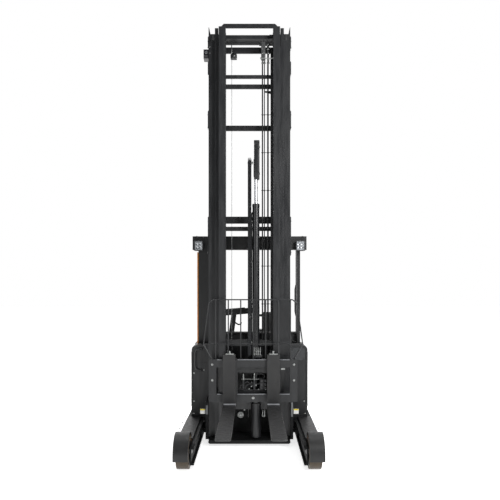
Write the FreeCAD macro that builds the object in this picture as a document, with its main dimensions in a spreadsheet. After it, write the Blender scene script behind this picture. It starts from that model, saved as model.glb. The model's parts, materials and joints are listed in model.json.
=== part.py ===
import FreeCAD, Part, Sketcher
import os
import re

# Reach truck with a three-stage mast. Millimetres, +Z up, forks towards -Y, +X is the truck's left.
# Positions named ..._back are measured behind the load wheels' axle, which lies at axle_y.

doc = FreeCAD.newDocument("reach_truck")
sheet = doc.addObject("Spreadsheet::Sheet", "sizes")

SIZES = {
    # whole machine
    "axle_y": -612,            # load wheels' axle, so that the machine is centred on the origin
    "rear_long": 630, "body_half": 600, "move_gap": 5, "shaft_gap": 0.05,
    # load wheels
    "load_radius": 142.5, "wheel_gap": 6, "load_wide": 106, "load_hub_radius": 104, "load_hub_inset": 4,
    "axle_radius": 20, "axle_nut_radius": 30, "axle_nut_long": 8,
    # reach legs and wheel guards
    "leg_inner": 469, "leg_outer": 503, "leg_web": 12, "leg_flange": 15, "leg_low": 46, "leg_top": 196,
    "leg_nose": 70, "leg_tail": 1250, "guard_rise": 23.5, "guard_plate": 12, "guard_gap": 9,
    "guard_low": 103, "guard_tail": 120, "beam_low": 60, "beam_top": 214, "beam_front": 160,
    # chassis and battery
    "wall_back": 940, "wall_plate": 15, "floor_plate": 14, "wall_foot": 48, "cover_top": 952,
    "cover_plate": 15,
    "battery_gap": 16, "battery_top": 890, "corner_round": 50, "lid_high": 60,
    # rear body
    "hood_left": 105, "skirt_low": 105, "hood_top": 800, "body_plate": 14, "foot_floor": 400,
    "rear_top": 1010, "rear_thick": 50, "body_round": 70,
    # drive unit
    "drive_x": -100, "drive_behind": 310, "drive_radius": 172, "drive_wide": 114, "drive_hub_radius": 118,
    "drive_gap": 8, "shelf_low": 470, "shelf_plate": 18, "turn_radius": 150, "turn_thick": 24,
    "turn_neck": 62,
    "neck_radius": 70, "case_wide": 44, "case_radius": 95, "motor_radius": 98, "motor_top": 760,
    "stub_radius": 26,
    # cab
    "dash_right": -255, "dash_left": 520, "dash_ahead": 50, "dash_behind": 40, "dash_top": 1062,
    "arm_behind": 50, "arm_wide": 95, "arm_right": -270, "arm_left": 110, "arm_low": 1236, "arm_rise": 31,
    "arm_thick": 61, "arm_post": 45, "arm_foot_left": -205, "arm_foot_right": -262, "arm_lean": 62,
    "steer_x": 180, "steer_behind": 460, "steer_radius": 95, "steer_rim": 11, "steer_hub": 26,
    "steer_z": 1215,
    "column_radius": 24, "column_half": 75, "column_top": 1190,
    "seat_side": 100, "seat_deep": 450, "seat_gap": 40, "seat_clear": 10, "seat_low": 850,
    "seat_thick": 120,
    "seat_plinth_edge": 35, "seat_plinth_inset": 30, "seat_foot_inset": 20, "seat_lean": 25,
    "seat_rest_thick": 105, "seat_rest_top": 1590, "seat_rest_edge": 10,
    # overhead guard
    "roof_ahead": 120, "roof_short": 30, "roof_over": 10, "roof_top": 2095, "roof_high": 145,
    "roof_deep": 60, "roof_rail_high": 70, "roof_rail_wide": 60, "bar_across": 16, "bar_high_roof": 46,
    "post_wide": 34, "post_deep": 44, "post_side": 58, "post_inset": 8,
    "rear_post_wide": 50, "rear_post_deep": 50,
    "pillar_wide": 122, "pillar_deep": 62, "pillar_inset": 2,
    "panel_side": 38, "panel_plate": 14, "panel_top": 1925, "panel_inset": 20,
    "window_low": 1180, "window_top": 1800, "window_edge": 90,
    "lamp_wide": 96, "lamp_high": 108, "lamp_deep": 62, "lamp_side": 69, "lamp_low": 1936,
    # reach drive
    "reach_z": 122, "reach_x": 250, "reach_tube": 32, "reach_bore": 22, "reach_rod": 18,
    "reach_tail": 1690, "reach_inside": 1630,
    "side_plate": 26, "side_low": 49, "side_top": 420, "side_front": 690, "side_tail": 930,
    "roller_radius": 54, "roller_wide": 20, "roller_gap": 4, "roller_front": 752, "roller_rear": 872,
    "roller_pin": 22, "tie_front": 906, "tie_low": 215, "foot_half": 400, "foot_low": 30, "foot_top": 64,
    "foot_front": 600, "foot_edge": 12, "belly_half": 250, "belly_step": 4,
    # mast profiles
    "outer_low": 25, "stage_low": 70, "stage_gap": 5, "outer_half": 408, "outer_front": 740,
    "outer_deep": 160, "outer_wide": 76,
    "outer_wall": 16, "outer_web": 16, "outer_top": 4081,
    "middle_half": 341, "middle_front": 680, "middle_deep": 150, "middle_wide": 56, "middle_wall": 15,
    "middle_web": 14, "middle_top": 4112, "slot_wide": 7, "slot_high": 185,
    "inner_half": 300, "inner_front": 620, "inner_deep": 150, "inner_wide": 66, "inner_wall": 15,
    "inner_web": 14, "inner_top": 4102,
    # mast ties
    "tie_gap": 5, "tie_plate": 16, "bracket_thick": 12, "bracket_round": 11, "bracket_deep": 110,
    "outer_top_drop": 123, "outer_top_high": 62, "outer_top_tall": 123,
    "outer_upper_drop": 391, "outer_upper_tall": 140, "outer_tip": 66, "tip_top": 5, "tip_foot": 19,
    "outer_mid_tie": 3161, "outer_mid_high": 54, "outer_mid_arm": 3146, "outer_mid_tall": 187,
    "outer_low_tie": 2206, "outer_low_high": 72, "outer_low_arm": 1870, "outer_low_tall": 395,
    "middle_upper_tie": 3561, "middle_upper_high": 45, "middle_mid_tie": 2122, "middle_mid_high": 43,
    "middle_low_tie": 700, "middle_low_high": 100,
    "inner_upper_tie": 3643, "inner_upper_high": 35, "inner_mid_tie": 965, "inner_mid_high": 60,
    "inner_low_tie": 330, "inner_low_high": 100,
    "crown_rise": 58, "crown_high": 38, "crown_leg": 44, "crown_half": 278, "crown_cut": 24,
    "crown_front": 690, "crown_deep": 20,
    "head_drop": 76, "head_high": 35, "head_tie_front": 800, "head_tie_tail": 894,
    "beam_drop": 72, "beam_high": 38, "beam_tie_front": 735, "beam_tie_tail": 793,
    # lift cylinders
    "lift_x": 285, "lift_radius": 30, "lift_bore": 24, "lift_rod": 21, "lift_tube_drop": 201,
    "lift_foot_high": 20, "lift_tube_floor": 40,
    "lift_back": 868,
    "lift_inside": 640,
    "free_x": 65, "free_radius": 35, "free_bore": 22, "free_rod": 17, "free_low": 410,
    "free_sleeve": 48, "free_top": 2365,
    "free_back": 695, "free_inside": 1200, "head_low": 2618, "head_top": 3003, "head_half": 34,
    "head_right": 20, "head_left": 35,
    "sheave_x": 3, "sheave_radius": 38, "sheave_wide": 28, "sheave_z": 2784, "sheave_pin": 14,
    "chain_wide": 28, "chain_thick": 8, "chain_low": 1080,
    # hoses and sensor
    "hose_back": 781, "hose_low": 420, "hose_turn_drop": 132, "hose_roll": 40, "hose_drop": 170,
    "hose_first": 131, "hose_first_radius": 7, "hose_second": 151, "hose_second_radius": 5,
    "hose_third": 186, "hose_third_radius": 8.5, "hose_rim": 3, "hose_guide": 22, "hose_guide_deep": 12,
    "hose_guide_drop": 30, "hose_axle": 8, "hose_shaft": 98,
    "sensor_wide": 52, "sensor_high": 90, "sensor_drop": 235, "sensor_deep": 90,
    # lift carriage
    "lift_low": 455, "lift_top": 925, "lift_front": 600, "lift_plate": 14, "lift_side": 20,
    "lift_half": 223,
    "lift_tail": 722, "lift_roller": 52, "lift_roller_wide": 27, "lift_cross_high": 90, "anchor_z": 845,
    "ear_thick": 15, "ear_x": 120, "pivot_z": 838, "pivot_back": 610, "pivot_radius": 13, "ear_round": 20,
    # tilting frame
    "tilt_front": 567, "tilt_plate": 16, "tilt_half": 300, "tilt_low": 462, "tilt_top": 852,
    "tilt_bar": 62, "tilt_head": 117,
    # fork carriage, class 2A, set over by its side shift
    "shift_set": 37, "bar_high": 76, "bar_low": 453, "bar_top": 860, "bar_thick": 32,
    "bar_mid": 150, "bar_post": 100, "cheek_half": 425, "cheek_wide": 71, "bar_step": 1,
    # forks
    "fork_wide": 120, "fork_thick": 40, "fork_long": 1150, "fork_tip": 12, "fork_face": 490,
    "fork_low": 393, "fork_top": 908, "fork_left_x": 230, "fork_right_x": -192, "fork_taper": 500,
    "fork_tip_cut": 32, "hook_deep": 22,
    # load backrest
    "rest_rod": 6, "rest_top": 1434, "rest_top_half": 380, "rest_shoulder_half": 424,
    "rest_shoulder": 1398,
    "rest_wide_half": 478, "rest_wide_z": 1005, "rest_foot_half": 393, "rest_back": 560,
    "rest_step": 120,
}

for row, (alias, value) in enumerate(SIZES.items(), start=1):
    sheet.set("A%d" % row, alias)
    sheet.set("B%d" % row, str(value))
    sheet.setAlias("B%d" % row, alias)
doc.recompute()


def size(alias):
    """A size from the sheet, as a number."""
    return float(sheet.get(alias))


def ex(text):
    """An expression in which each bare word names a cell of the sheet."""
    return re.sub(r"(?<![\w.])([a-z]+_[a-z_]+)(?!\w*\()", r"sizes.\1", str(text))


def back(text):
    """The Y of a place measured behind the load wheels' axle."""
    return "axle_y + " + str(text)


def box(name, x, y, z):
    """A block between pairs of expressions, low then high, along X, Y and Z."""
    block = doc.addObject("Part::Box", name)
    for axis, side, (low, high) in zip("xyz", ("Length", "Width", "Height"), (x, y, z)):
        block.setExpression(side, ex("(%s) - (%s)" % (high, low)))
        block.setExpression("Placement.Base." + axis, ex(low))
    return block


TURNS = {"x": FreeCAD.Rotation(FreeCAD.Vector(0, 1, 0), 90),
         "y": FreeCAD.Rotation(FreeCAD.Vector(1, 0, 0), -90),
         "z": FreeCAD.Rotation()}


def rod(name, along, start, length, radius):
    """A round bar from the point start, given as three expressions, for length along one axis."""
    bar = doc.addObject("Part::Cylinder", name)
    bar.Placement = FreeCAD.Placement(FreeCAD.Vector(), TURNS[along])
    bar.setExpression("Radius", ex(radius))
    bar.setExpression("Height", ex(length))
    for axis, place in zip("xyz", start):
        bar.setExpression("Placement.Base." + axis, ex(place))
    return bar


def fuse(name, pieces):
    """One piece made of several that overlap or touch."""
    joined = doc.addObject("Part::MultiFuse", name)
    joined.Shapes = pieces
    joined.Refine = True
    return joined


def together(name, pieces):
    """Several solids that don't touch, kept as one node."""
    group = doc.addObject("Part::Compound", name)
    group.Links = pieces
    return group


def cut(name, base, tools):
    """base with each of the tools taken out of it."""
    result = doc.addObject("Part::Cut", name)
    result.Base = base
    result.Tool = tools[0] if len(tools) == 1 else together(name + "_tools", tools)
    result.Refine = True
    return result


def mirrored(name, source):
    """source on the other side of the machine's middle plane."""
    twin = doc.addObject("Part::Mirroring", name)
    twin.Source = source
    twin.Base = FreeCAD.Vector(0, 0, 0)
    twin.Normal = FreeCAD.Vector(1, 0, 0)
    return twin


def both_sides(name, source):
    """source and its mirror image, as one node of two solids."""
    return together(name, [source, mirrored(name + "_twin", source)])


PLANES = {"x": "YZ_Plane", "y": "XZ_Plane", "z": "XY_Plane"}


def padded(name, along, corners, start, length):
    """A PartDesign body: an outline of corner points, each a pair of expressions, padded along one axis.
    The outline lies in Y and Z for x, in X and Z for y, and in X and Y for z."""
    body = doc.addObject("PartDesign::Body", name)
    sketch = body.newObject("Sketcher::SketchObject", name + "_outline")
    plane = [feature for feature in body.Origin.OriginFeatures if feature.Role == PLANES[along]][0]
    sketch.AttachmentSupport = [(plane, "")]
    sketch.MapMode = "FlatFace"
    points = [(number(u), number(v)) for u, v in corners]
    count = len(points)
    for i in range(count):
        here = FreeCAD.Vector(points[i][0], points[i][1], 0)
        there = FreeCAD.Vector(points[(i + 1) % count][0], points[(i + 1) % count][1], 0)
        sketch.addGeometry(Part.LineSegment(here, there), False)
    for i in range(count):
        sketch.addConstraint(Sketcher.Constraint("Coincident", i, 2, (i + 1) % count, 1))
    for i, corner in enumerate(corners):
        for kind, letter, value, text in zip(("DistanceX", "DistanceY"), "uv", points[i], corner):
            index = sketch.addConstraint(Sketcher.Constraint(kind, -1, 1, i, 1, value))
            sketch.renameConstraint(index, "%s%d" % (letter, i))
            sketch.setExpression("Constraints.%s%d" % (letter, i), ex(text))
    pad = body.newObject("PartDesign::Pad", name + "_pad")
    pad.Profile = sketch
    pad.setExpression("Length", ex(length))
    pad.Reversed = along == "y"
    body.setExpression("Placement.Base." + along, ex(start))
    return body


def number(text):
    """What an expression of the sheet's words comes to."""
    words = re.sub(r"[a-z]+_[a-z_]+", lambda found: str(size(found.group(0))), str(text))
    total = FreeCAD.Units.Quantity(words.replace(" ", ""))
    return float(total.Value)


def rounded(name, source, radius, picks):
    """source with the edges that picks chooses rounded."""
    doc.recompute()
    result = doc.addObject("Part::Fillet", name)
    result.Base = source
    edges = [i + 1 for i, edge in enumerate(source.Shape.Edges) if picks(edge)]
    result.Edges = [(i, number(radius), number(radius)) for i in edges]
    return result


def upright_edge(edge):
    """True for a straight edge along Z."""
    ends = [vertex.Point for vertex in edge.Vertexes]
    return len(ends) == 2 and abs(ends[0].x - ends[1].x) < 0.01 and abs(ends[0].y - ends[1].y) < 0.01


# ---- places that several pieces share, bracketed so that they can be negated ----
wheel_near = "(leg_outer + wheel_gap)"                 # inner face of a load wheel
guard_half = "(leg_outer + wheel_gap + load_wide + guard_gap + guard_plate)"
guard_radius = "(load_radius + guard_rise)"
rear_back = "(leg_tail + rear_long)"
drive_back = "(leg_tail + drive_behind)"
steer_back = "(leg_tail + steer_behind)"
dash_front = "(leg_tail - dash_ahead)"
dash_tail = "(leg_tail + dash_behind)"
arm_front = "(leg_tail + arm_behind)"
seat_front = f"({arm_front} + move_gap + arm_post + seat_clear)"
seat_tail = f"({rear_back} - rear_thick - seat_gap)"
roof_front = "(leg_tail - roof_ahead)"
roof_tail = f"({rear_back} - roof_short)"
roof_half = "(body_half + roof_over)"
panel_out = "(-body_half + panel_side)"                # outer face of the side panel, on the truck's right
seat_right = "(-body_half + seat_side)"
outer_tail = "(outer_front + outer_deep)"
middle_tail = "(middle_front + middle_deep)"
inner_tail = "(inner_front + inner_deep)"
web_edge = "(outer_half - outer_wide - stage_gap)"     # outer face of the middle stage's web
inner_edge = "(middle_half - middle_wide - stage_gap)"  # outer face of the inner stage's web
hose_turn = "(inner_top - hose_turn_drop)"             # height of the hose sheaves


# ---- load wheels, their axles, the legs and the wheel guards ----
def load_wheel(side, sign):
    """The tyre and hub of one load wheel."""
    near = wheel_near if sign > 0 else "-" + wheel_near + " - load_wide"
    solid = rod("load_tyre_%s_solid" % side, "x", (near, "axle_y", "load_radius"), "load_wide", "load_radius")
    core = rod("load_tyre_%s_core" % side, "x", (near, "axle_y", "load_radius"), "load_wide", "load_hub_radius")
    cut("load_tyre_" + side, solid, [core])
    hub = rod("load_hub_%s_disc" % side, "x", (near + " + load_hub_inset", "axle_y", "load_radius"),
              "load_wide - 2 * load_hub_inset", "load_hub_radius")
    bore = rod("load_hub_%s_bore" % side, "x", (near, "axle_y", "load_radius"), "load_wide",
               "axle_radius + shaft_gap")
    cut("load_hub_" + side, hub, [bore])


load_wheel("left", 1)
load_wheel("right", -1)
axle = fuse("load_axle_left", [
    rod("axle_bar", "x", ("leg_outer - leg_web", "axle_y", "load_radius"), f"{guard_half} - leg_outer + leg_web",
        "axle_radius"),
    rod("axle_nut", "x", (guard_half, "axle_y", "load_radius"), "axle_nut_long", "axle_nut_radius")])
both_sides("load_axles", axle)

channel = padded("leg_channel", "y", [
    ("leg_inner", "leg_low"), ("leg_outer", "leg_low"), ("leg_outer", "leg_top"), ("leg_inner", "leg_top"),
    ("leg_inner", "leg_top - leg_flange"), ("leg_outer - leg_web", "leg_top - leg_flange"),
    ("leg_outer - leg_web", "leg_low + leg_flange"), ("leg_inner", "leg_low + leg_flange")],
    back("-leg_nose"), "leg_nose + leg_tail")
leg = cut("leg_left", channel, [rod("leg_eye", "x", ("leg_inner", "axle_y", "load_radius"),
                                    "leg_outer - leg_inner", "axle_radius")])
both_sides("reach_legs", leg)

guard_drum = rod("guard_drum", "x", ("leg_outer + move_gap", "axle_y", "load_radius"),
                 f"{guard_half} - leg_outer - move_gap", guard_radius)
guard_room = rod("guard_room", "x", ("leg_outer", "axle_y", "load_radius"),
                 f"{guard_half} - guard_plate - leg_outer", f"{guard_radius} - guard_plate")
guard_open = box("guard_open", ("leg_outer", guard_half), (back(f"-{guard_radius}"), back(guard_radius)),
                 (f"load_radius - {guard_radius}", "guard_low"))
guard_behind = box("guard_behind", ("leg_outer", guard_half), (back("guard_tail"), back(guard_radius)),
                   (f"load_radius - {guard_radius}", f"load_radius + {guard_radius}"))
guard_eye = rod("guard_eye", "x", ("leg_outer", "axle_y", "load_radius"), f"{guard_half} - leg_outer",
                "axle_radius")
guard = cut("guard_left", guard_drum, [guard_room, guard_open, guard_behind, guard_eye])
stay = box("guard_stay", ("leg_outer", guard_half), (back("beam_front"), back("wall_back")),
           ("beam_low", "beam_top"))
stay_tab = box("guard_tab", (f"{guard_half} - guard_plate", guard_half),
               (back("guard_tail - guard_plate"), back("beam_front + guard_plate")), ("beam_low", "beam_top"))
both_sides("load_guards", fuse("guard_fused", [guard, stay_tab, stay]))

# ---- chassis, battery and front wall ----
floor = box("floor_plate_block", (f"-{guard_half}", guard_half), (back("wall_back"), back("leg_tail")),
            ("leg_top", "leg_top + floor_plate"))
bulkhead_box = box("bulkhead_box", ("-body_half + cover_plate", "body_half - cover_plate"),
                   (back("leg_tail - body_plate"), back("leg_tail")), ("leg_top", "cover_top - cover_plate"))


def top_corner(edge):
    """True for an edge along Y at the top of its piece, at either side."""
    middle = edge.CenterOfMass
    return edge.BoundBox.YLength > 1 and middle.z > number("cover_top - cover_plate") - 1 and \
        abs(middle.x) > number("body_half - cover_plate") - 1


bulkhead = rounded("bulkhead", bulkhead_box, "corner_round", top_corner)
low_wall = box("low_wall", ("-leg_inner", "leg_inner"), (back("wall_back"), back("wall_back + wall_plate")),
               ("wall_foot", "leg_top"))
chassis_rail = box("chassis_rail", ("leg_outer", guard_half), (back("wall_back"), back("leg_tail")),
                   ("beam_low", "leg_top"))
rail_twin = mirrored("chassis_rail_twin", chassis_rail)
shelf = box("drive_shelf", ("-body_half + body_plate", "hood_left - body_plate"),
            (back("leg_tail"), back(f"{rear_back} - rear_thick")), ("shelf_low", "shelf_low + shelf_plate"))
frame_solid = fuse("chassis_solid", [floor, bulkhead, low_wall, chassis_rail, rail_twin, shelf])
cut("chassis_frame", frame_solid, [
    rod("reach_rod_hole", "y", ("reach_x", back("wall_back"), "reach_z"), "wall_plate", "reach_rod + move_gap"),
    rod("turntable_hole", "z", ("drive_x", back(drive_back), "shelf_low"), "shelf_plate",
        "motor_radius + move_gap")])
box("battery", ("-body_half + battery_gap", "body_half - battery_gap"),
    (back("wall_back + wall_plate + battery_gap"), back("leg_tail - body_plate - battery_gap")),
    ("leg_top + floor_plate", "battery_top"))
wall_box = box("front_plate_box", ("-body_half", "body_half"), (back("wall_back"), back("wall_back + wall_plate")),
               ("leg_top + floor_plate", "cover_top"))
wall = rounded("front_plate", wall_box, "corner_round", top_corner)
lid_box = box("lid_box", ("-body_half", "body_half"), (back("wall_back"), back("leg_tail")),
              ("cover_top - lid_high", "cover_top"))
lid_outside = rounded("lid_outside", lid_box, "corner_round", top_corner)
lid_room_box = box("lid_room_box", ("-body_half + cover_plate", "body_half - cover_plate"),
                   (back("wall_back"), back("leg_tail")), ("cover_top - lid_high - move_gap", "cover_top - cover_plate"))
lid_room = rounded("lid_room", lid_room_box, "corner_round - cover_plate", top_corner)
fuse("battery_wall", [wall, cut("battery_lid", lid_outside, [lid_room])])

# ---- rear body: drive compartment, footwell and rear wall ----
outside = box("body_outside", ("-body_half", "body_half"), (back("leg_tail"), back(rear_back)),
              ("skirt_low", "hood_top"))
doc.recompute()
soft = rounded("body_soft", outside, "body_round",
               lambda edge: upright_edge(edge) and edge.Vertexes[0].Point.y > 0)
drive_room = box("drive_room", ("-body_half + body_plate", "hood_left - body_plate"),
                 (back("leg_tail"), back(f"{rear_back} - rear_thick")), ("skirt_low", "hood_top - body_plate"))
under_room = box("under_room", ("hood_left", "body_half - body_plate"),
                 (back("leg_tail"), back(f"{rear_back} - rear_thick")), ("skirt_low", "foot_floor"))
foot_room = box("foot_room", ("hood_left", "body_half"), (back("leg_tail"), back(f"{rear_back} - rear_thick")),
                ("foot_floor + body_plate", "hood_top"))
shell = cut("body_shell", soft, [drive_room, under_room, foot_room])
rear_wall = box("rear_wall", ("-body_half", "body_half"), (back(f"{rear_back} - rear_thick"), back(rear_back)),
                ("hood_top - body_round", "rear_top"))
rear_soft = rounded("rear_wall_soft", rear_wall, "body_plate", upright_edge)
fuse("rear_body", [shell, rear_soft])

# ---- drive unit ----
neck_top = "shelf_low + shelf_plate + drive_gap"
turntable = rod("turntable", "z", ("drive_x", back(drive_back), neck_top), "turn_thick", "turn_radius")
neck = rod("drive_neck", "z", ("drive_x", back(drive_back), "shelf_low - turn_neck"),
           "turn_neck + shelf_plate + drive_gap", "neck_radius")
yoke = box("drive_yoke", ("drive_x - drive_wide / 2 - drive_gap - case_wide", "drive_x + neck_radius"),
           (back(f"{drive_back} - neck_radius"), back(f"{drive_back} + neck_radius")),
           ("2 * drive_radius + drive_gap", "shelf_low - drive_gap"))
case = rod("drive_case_disc", "x", ("drive_x - drive_wide / 2 - drive_gap - case_wide", back(drive_back),
           "drive_radius"), "case_wide", "case_radius")
case_arm = box("drive_case_arm", ("drive_x - drive_wide / 2 - drive_gap - case_wide",
                                  "drive_x - drive_wide / 2 - drive_gap"),
               (back(f"{drive_back} - neck_radius"), back(f"{drive_back} + neck_radius")),
               ("drive_radius", "2 * drive_radius + 2 * drive_gap"))
stub = rod("drive_stub", "x", ("drive_x - drive_wide / 2 - drive_gap", back(drive_back), "drive_radius"),
           "drive_gap + drive_wide", "stub_radius")
fuse("drive_unit", [turntable, neck, yoke, case, case_arm, stub])
rod("drive_motor", "z", ("drive_x", back(drive_back), neck_top + " + turn_thick"),
    "motor_top - shelf_low - shelf_plate - drive_gap - turn_thick", "motor_radius")
drive_face = "drive_x - drive_wide / 2"
cut("drive_tyre", rod("drive_tyre_solid", "x", (drive_face, back(drive_back), "drive_radius"), "drive_wide",
                      "drive_radius"),
    [rod("drive_tyre_core", "x", (drive_face, back(drive_back), "drive_radius"), "drive_wide",
         "drive_hub_radius")])
cut("drive_hub", rod("drive_hub_solid", "x", (drive_face, back(drive_back), "drive_radius"), "drive_wide",
                     "drive_hub_radius"),
    [rod("drive_hub_bore", "x", (drive_face, back(drive_back), "drive_radius"), "drive_wide",
         "stub_radius + shaft_gap")])

# ---- cab ----
dash = padded("dash_outline", "x", [
    (back(dash_front), "cover_top"), (back(dash_tail), "cover_top"), (back(dash_tail), "dash_top - body_plate"),
    (back(f"{dash_tail} - body_plate"), "dash_top"), (back(f"{dash_front} + body_plate"), "dash_top"),
    (back(dash_front), "dash_top - body_plate")], "dash_right", "dash_left - dash_right")
dash_drop = box("dash_drop", ("dash_right", "dash_left"), (back("leg_tail"), back(dash_tail)),
                ("hood_top", "cover_top"))
fuse("dashboard", [dash, dash_drop])
arm_pad = padded("arm_pad", "y", [
    ("arm_right", "arm_low"), ("arm_left", "arm_low + arm_rise"), ("arm_left", "arm_low + arm_rise + arm_thick"),
    ("arm_right", "arm_low + arm_thick")], back(arm_front), "arm_wide")
arm_leg = padded("arm_leg", "y", [
    ("arm_foot_right", "hood_top"), ("arm_foot_left", "hood_top"), ("arm_foot_left + arm_lean", "arm_low + arm_thick / 2"),
    ("arm_foot_right + arm_lean", "arm_low + arm_thick / 2")], back(f"{arm_front} + move_gap"), "arm_post")
fuse("armrest", [arm_pad, arm_leg])
column_block = box("column_block", ("steer_x - column_half", "steer_x + column_half"),
                   (back(f"{steer_back} - column_half"), back(f"{rear_back} - rear_thick")),
                   ("rear_top - column_half", "rear_top + column_half / 2"))
column = rod("column_bar", "z", ("steer_x", back(steer_back), "rear_top"), "column_top - rear_top",
             "column_radius")
fuse("steering_column", [column_block, column])

rim = doc.addObject("Part::Torus", "steering_rim")
rim.setExpression("Radius1", ex("steer_radius - steer_rim"))
rim.setExpression("Radius2", ex("steer_rim"))
rim.setExpression("Placement.Base.x", ex("steer_x"))
rim.setExpression("Placement.Base.y", ex(back(steer_back)))
rim.setExpression("Placement.Base.z", ex("steer_z"))
spoke = box("steering_spoke", ("steer_x - steer_radius + steer_rim", "steer_x + steer_radius - steer_rim"),
            (back(f"{steer_back} - steer_rim"), back(f"{steer_back} + steer_rim")),
            ("steer_z - steer_rim / 2", "steer_z + steer_rim / 2"))
boss = rod("steering_boss", "z", ("steer_x", back(steer_back), "column_top + shaft_gap"),
           "steer_z + steer_rim - column_top", "steer_hub")
fuse("steering_wheel", [rim, spoke, boss])

box("seat_base", (f"{seat_right} + seat_plinth_inset", f"{seat_right} + seat_deep - seat_plinth_inset"),
    (back(f"{seat_front} + seat_plinth_edge"), back(f"{seat_tail} - seat_plinth_edge")), ("hood_top", "seat_low"))
cushion = box("seat_block", (f"{seat_right} + seat_rest_thick", f"{seat_right} + seat_deep"),
              (back(seat_front), back(seat_tail)), ("seat_low", "seat_low + seat_thick"))
rounded("seat_cushion", cushion, "body_plate", lambda edge: edge.CenterOfMass.z > size("seat_low") + 1)
rest = padded("seat_rest_block", "y", [
    (f"{seat_right} + seat_foot_inset", "seat_low"), (f"{seat_right} + seat_rest_thick", "seat_low"),
    (f"{seat_right} + seat_rest_thick - seat_lean", "seat_rest_top"),
    (f"{seat_right} - seat_lean", "seat_rest_top")],
    back(f"{seat_front} + seat_rest_edge"), f"{seat_tail} - {seat_front} - 2 * seat_rest_edge")
rounded("seat_rest", rest, "body_plate", lambda edge: edge.CenterOfMass.z > size("seat_low") + 1)

# ---- overhead guard ----
roof_parts = [box("roof_front_beam", (f"-{roof_half}", roof_half), (back(roof_front), back(f"{roof_front} + roof_deep")),
                  ("roof_top - roof_high", "roof_top")),
              box("roof_rear_beam", (f"-{roof_half}", roof_half), (back(f"{roof_tail} - roof_deep"), back(roof_tail)),
                  ("roof_top - roof_rail_high", "roof_top"))]
for side, low, high in (("left", f"{roof_half} - roof_rail_wide", roof_half),
                        ("right", f"-{roof_half}", f"-{roof_half} + roof_rail_wide")):
    roof_parts.append(box("roof_rail_" + side, (low, high), (back(roof_front), back(roof_tail)),
                          ("roof_top - roof_rail_high", "roof_top")))
for i in range(1, 7):
    middle = f"-{roof_half} + %d * 2 * {roof_half} / 7" % i
    roof_parts.append(box("roof_bar_%d" % i, (middle + " - bar_across / 2", middle + " + bar_across / 2"),
                          (back(roof_front), back(roof_tail)), ("roof_top - bar_high_roof", "roof_top")))
roof_parts.append(box("front_post", ("body_half - post_side - post_wide", "body_half - post_side"),
                      (back(f"{roof_front} + post_inset"), back(f"{roof_front} + post_inset + post_deep")),
                      ("cover_top", "roof_top - roof_high / 2")))
roof_parts.append(box("front_pillar", (f"{panel_out} + panel_plate", f"{panel_out} + panel_plate + pillar_wide"),
                      (back(f"{roof_front} + pillar_inset"), back(f"{roof_front} + pillar_inset + pillar_deep")),
                      ("cover_top", "roof_top - roof_high / 2")))
for side, low, high in (("left", "body_half - rear_post_wide", "body_half"),
                        ("right", "-body_half", "-body_half + rear_post_wide")):
    roof_parts.append(box("rear_post_" + side, (low, high), (back(f"{roof_tail} - rear_post_deep"), back(roof_tail)),
                          ("rear_top", "roof_top - roof_rail_high / 2")))
fuse("overhead_guard", roof_parts)
panel = box("panel_block", (panel_out, f"{panel_out} + panel_plate"), (back(f"{roof_front} + panel_inset"), back(f"{roof_tail} - roof_deep")),
            ("cover_top", "panel_top"))
panel_foot = box("panel_foot", (panel_out, f"{panel_out} + panel_plate"), (back("leg_tail"), back(f"{roof_tail} - roof_deep")),
                 ("hood_top", "cover_top"))
window = box("panel_window", (panel_out, f"{panel_out} + panel_plate"),
             (back(f"{roof_front} + panel_inset + 2 * window_edge"), back(f"{roof_tail} - roof_deep - window_edge")),
             ("window_low", "window_top"))
cut("side_panel", fuse("panel_solid", [panel, panel_foot]), [window])
lamp = box("lamp_left", (f"{roof_half} - lamp_side - lamp_wide / 2", f"{roof_half} - lamp_side + lamp_wide / 2"),
           (back(f"{roof_front} - lamp_deep"), back(roof_front)), ("lamp_low", "lamp_low + lamp_high"))
both_sides("work_lamps", rounded("lamp_left_soft", lamp, "body_plate",
                                 lambda edge: edge.BoundBox.YLength > size("lamp_deep") / 2))

# ---- reach drive and reach carriage ----
tube = rod("reach_tube_solid", "y", ("reach_x", back("wall_back + wall_plate"), "reach_z"),
           "reach_tail - wall_back - wall_plate", "reach_tube")
tube_lug = box("reach_tube_lug", ("reach_x - reach_tube", "reach_x + reach_tube"),
               (back("leg_tail - 60"), back("leg_tail - 20")), ("reach_z", "leg_top"))
cut("reach_cylinder", fuse("reach_tube_joined", [tube, tube_lug]), [
    rod("reach_tube_bore", "y", ("reach_x", back("wall_back + wall_plate"), "reach_z"),
        "reach_inside + 10 - wall_back - wall_plate", "reach_bore")])
rod("reach_rod_bar", "y", ("reach_x", back("side_tail"), "reach_z"), "reach_inside - side_tail", "reach_rod")
doc.getObject("reach_rod_bar").Label = "reach_rod"

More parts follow.
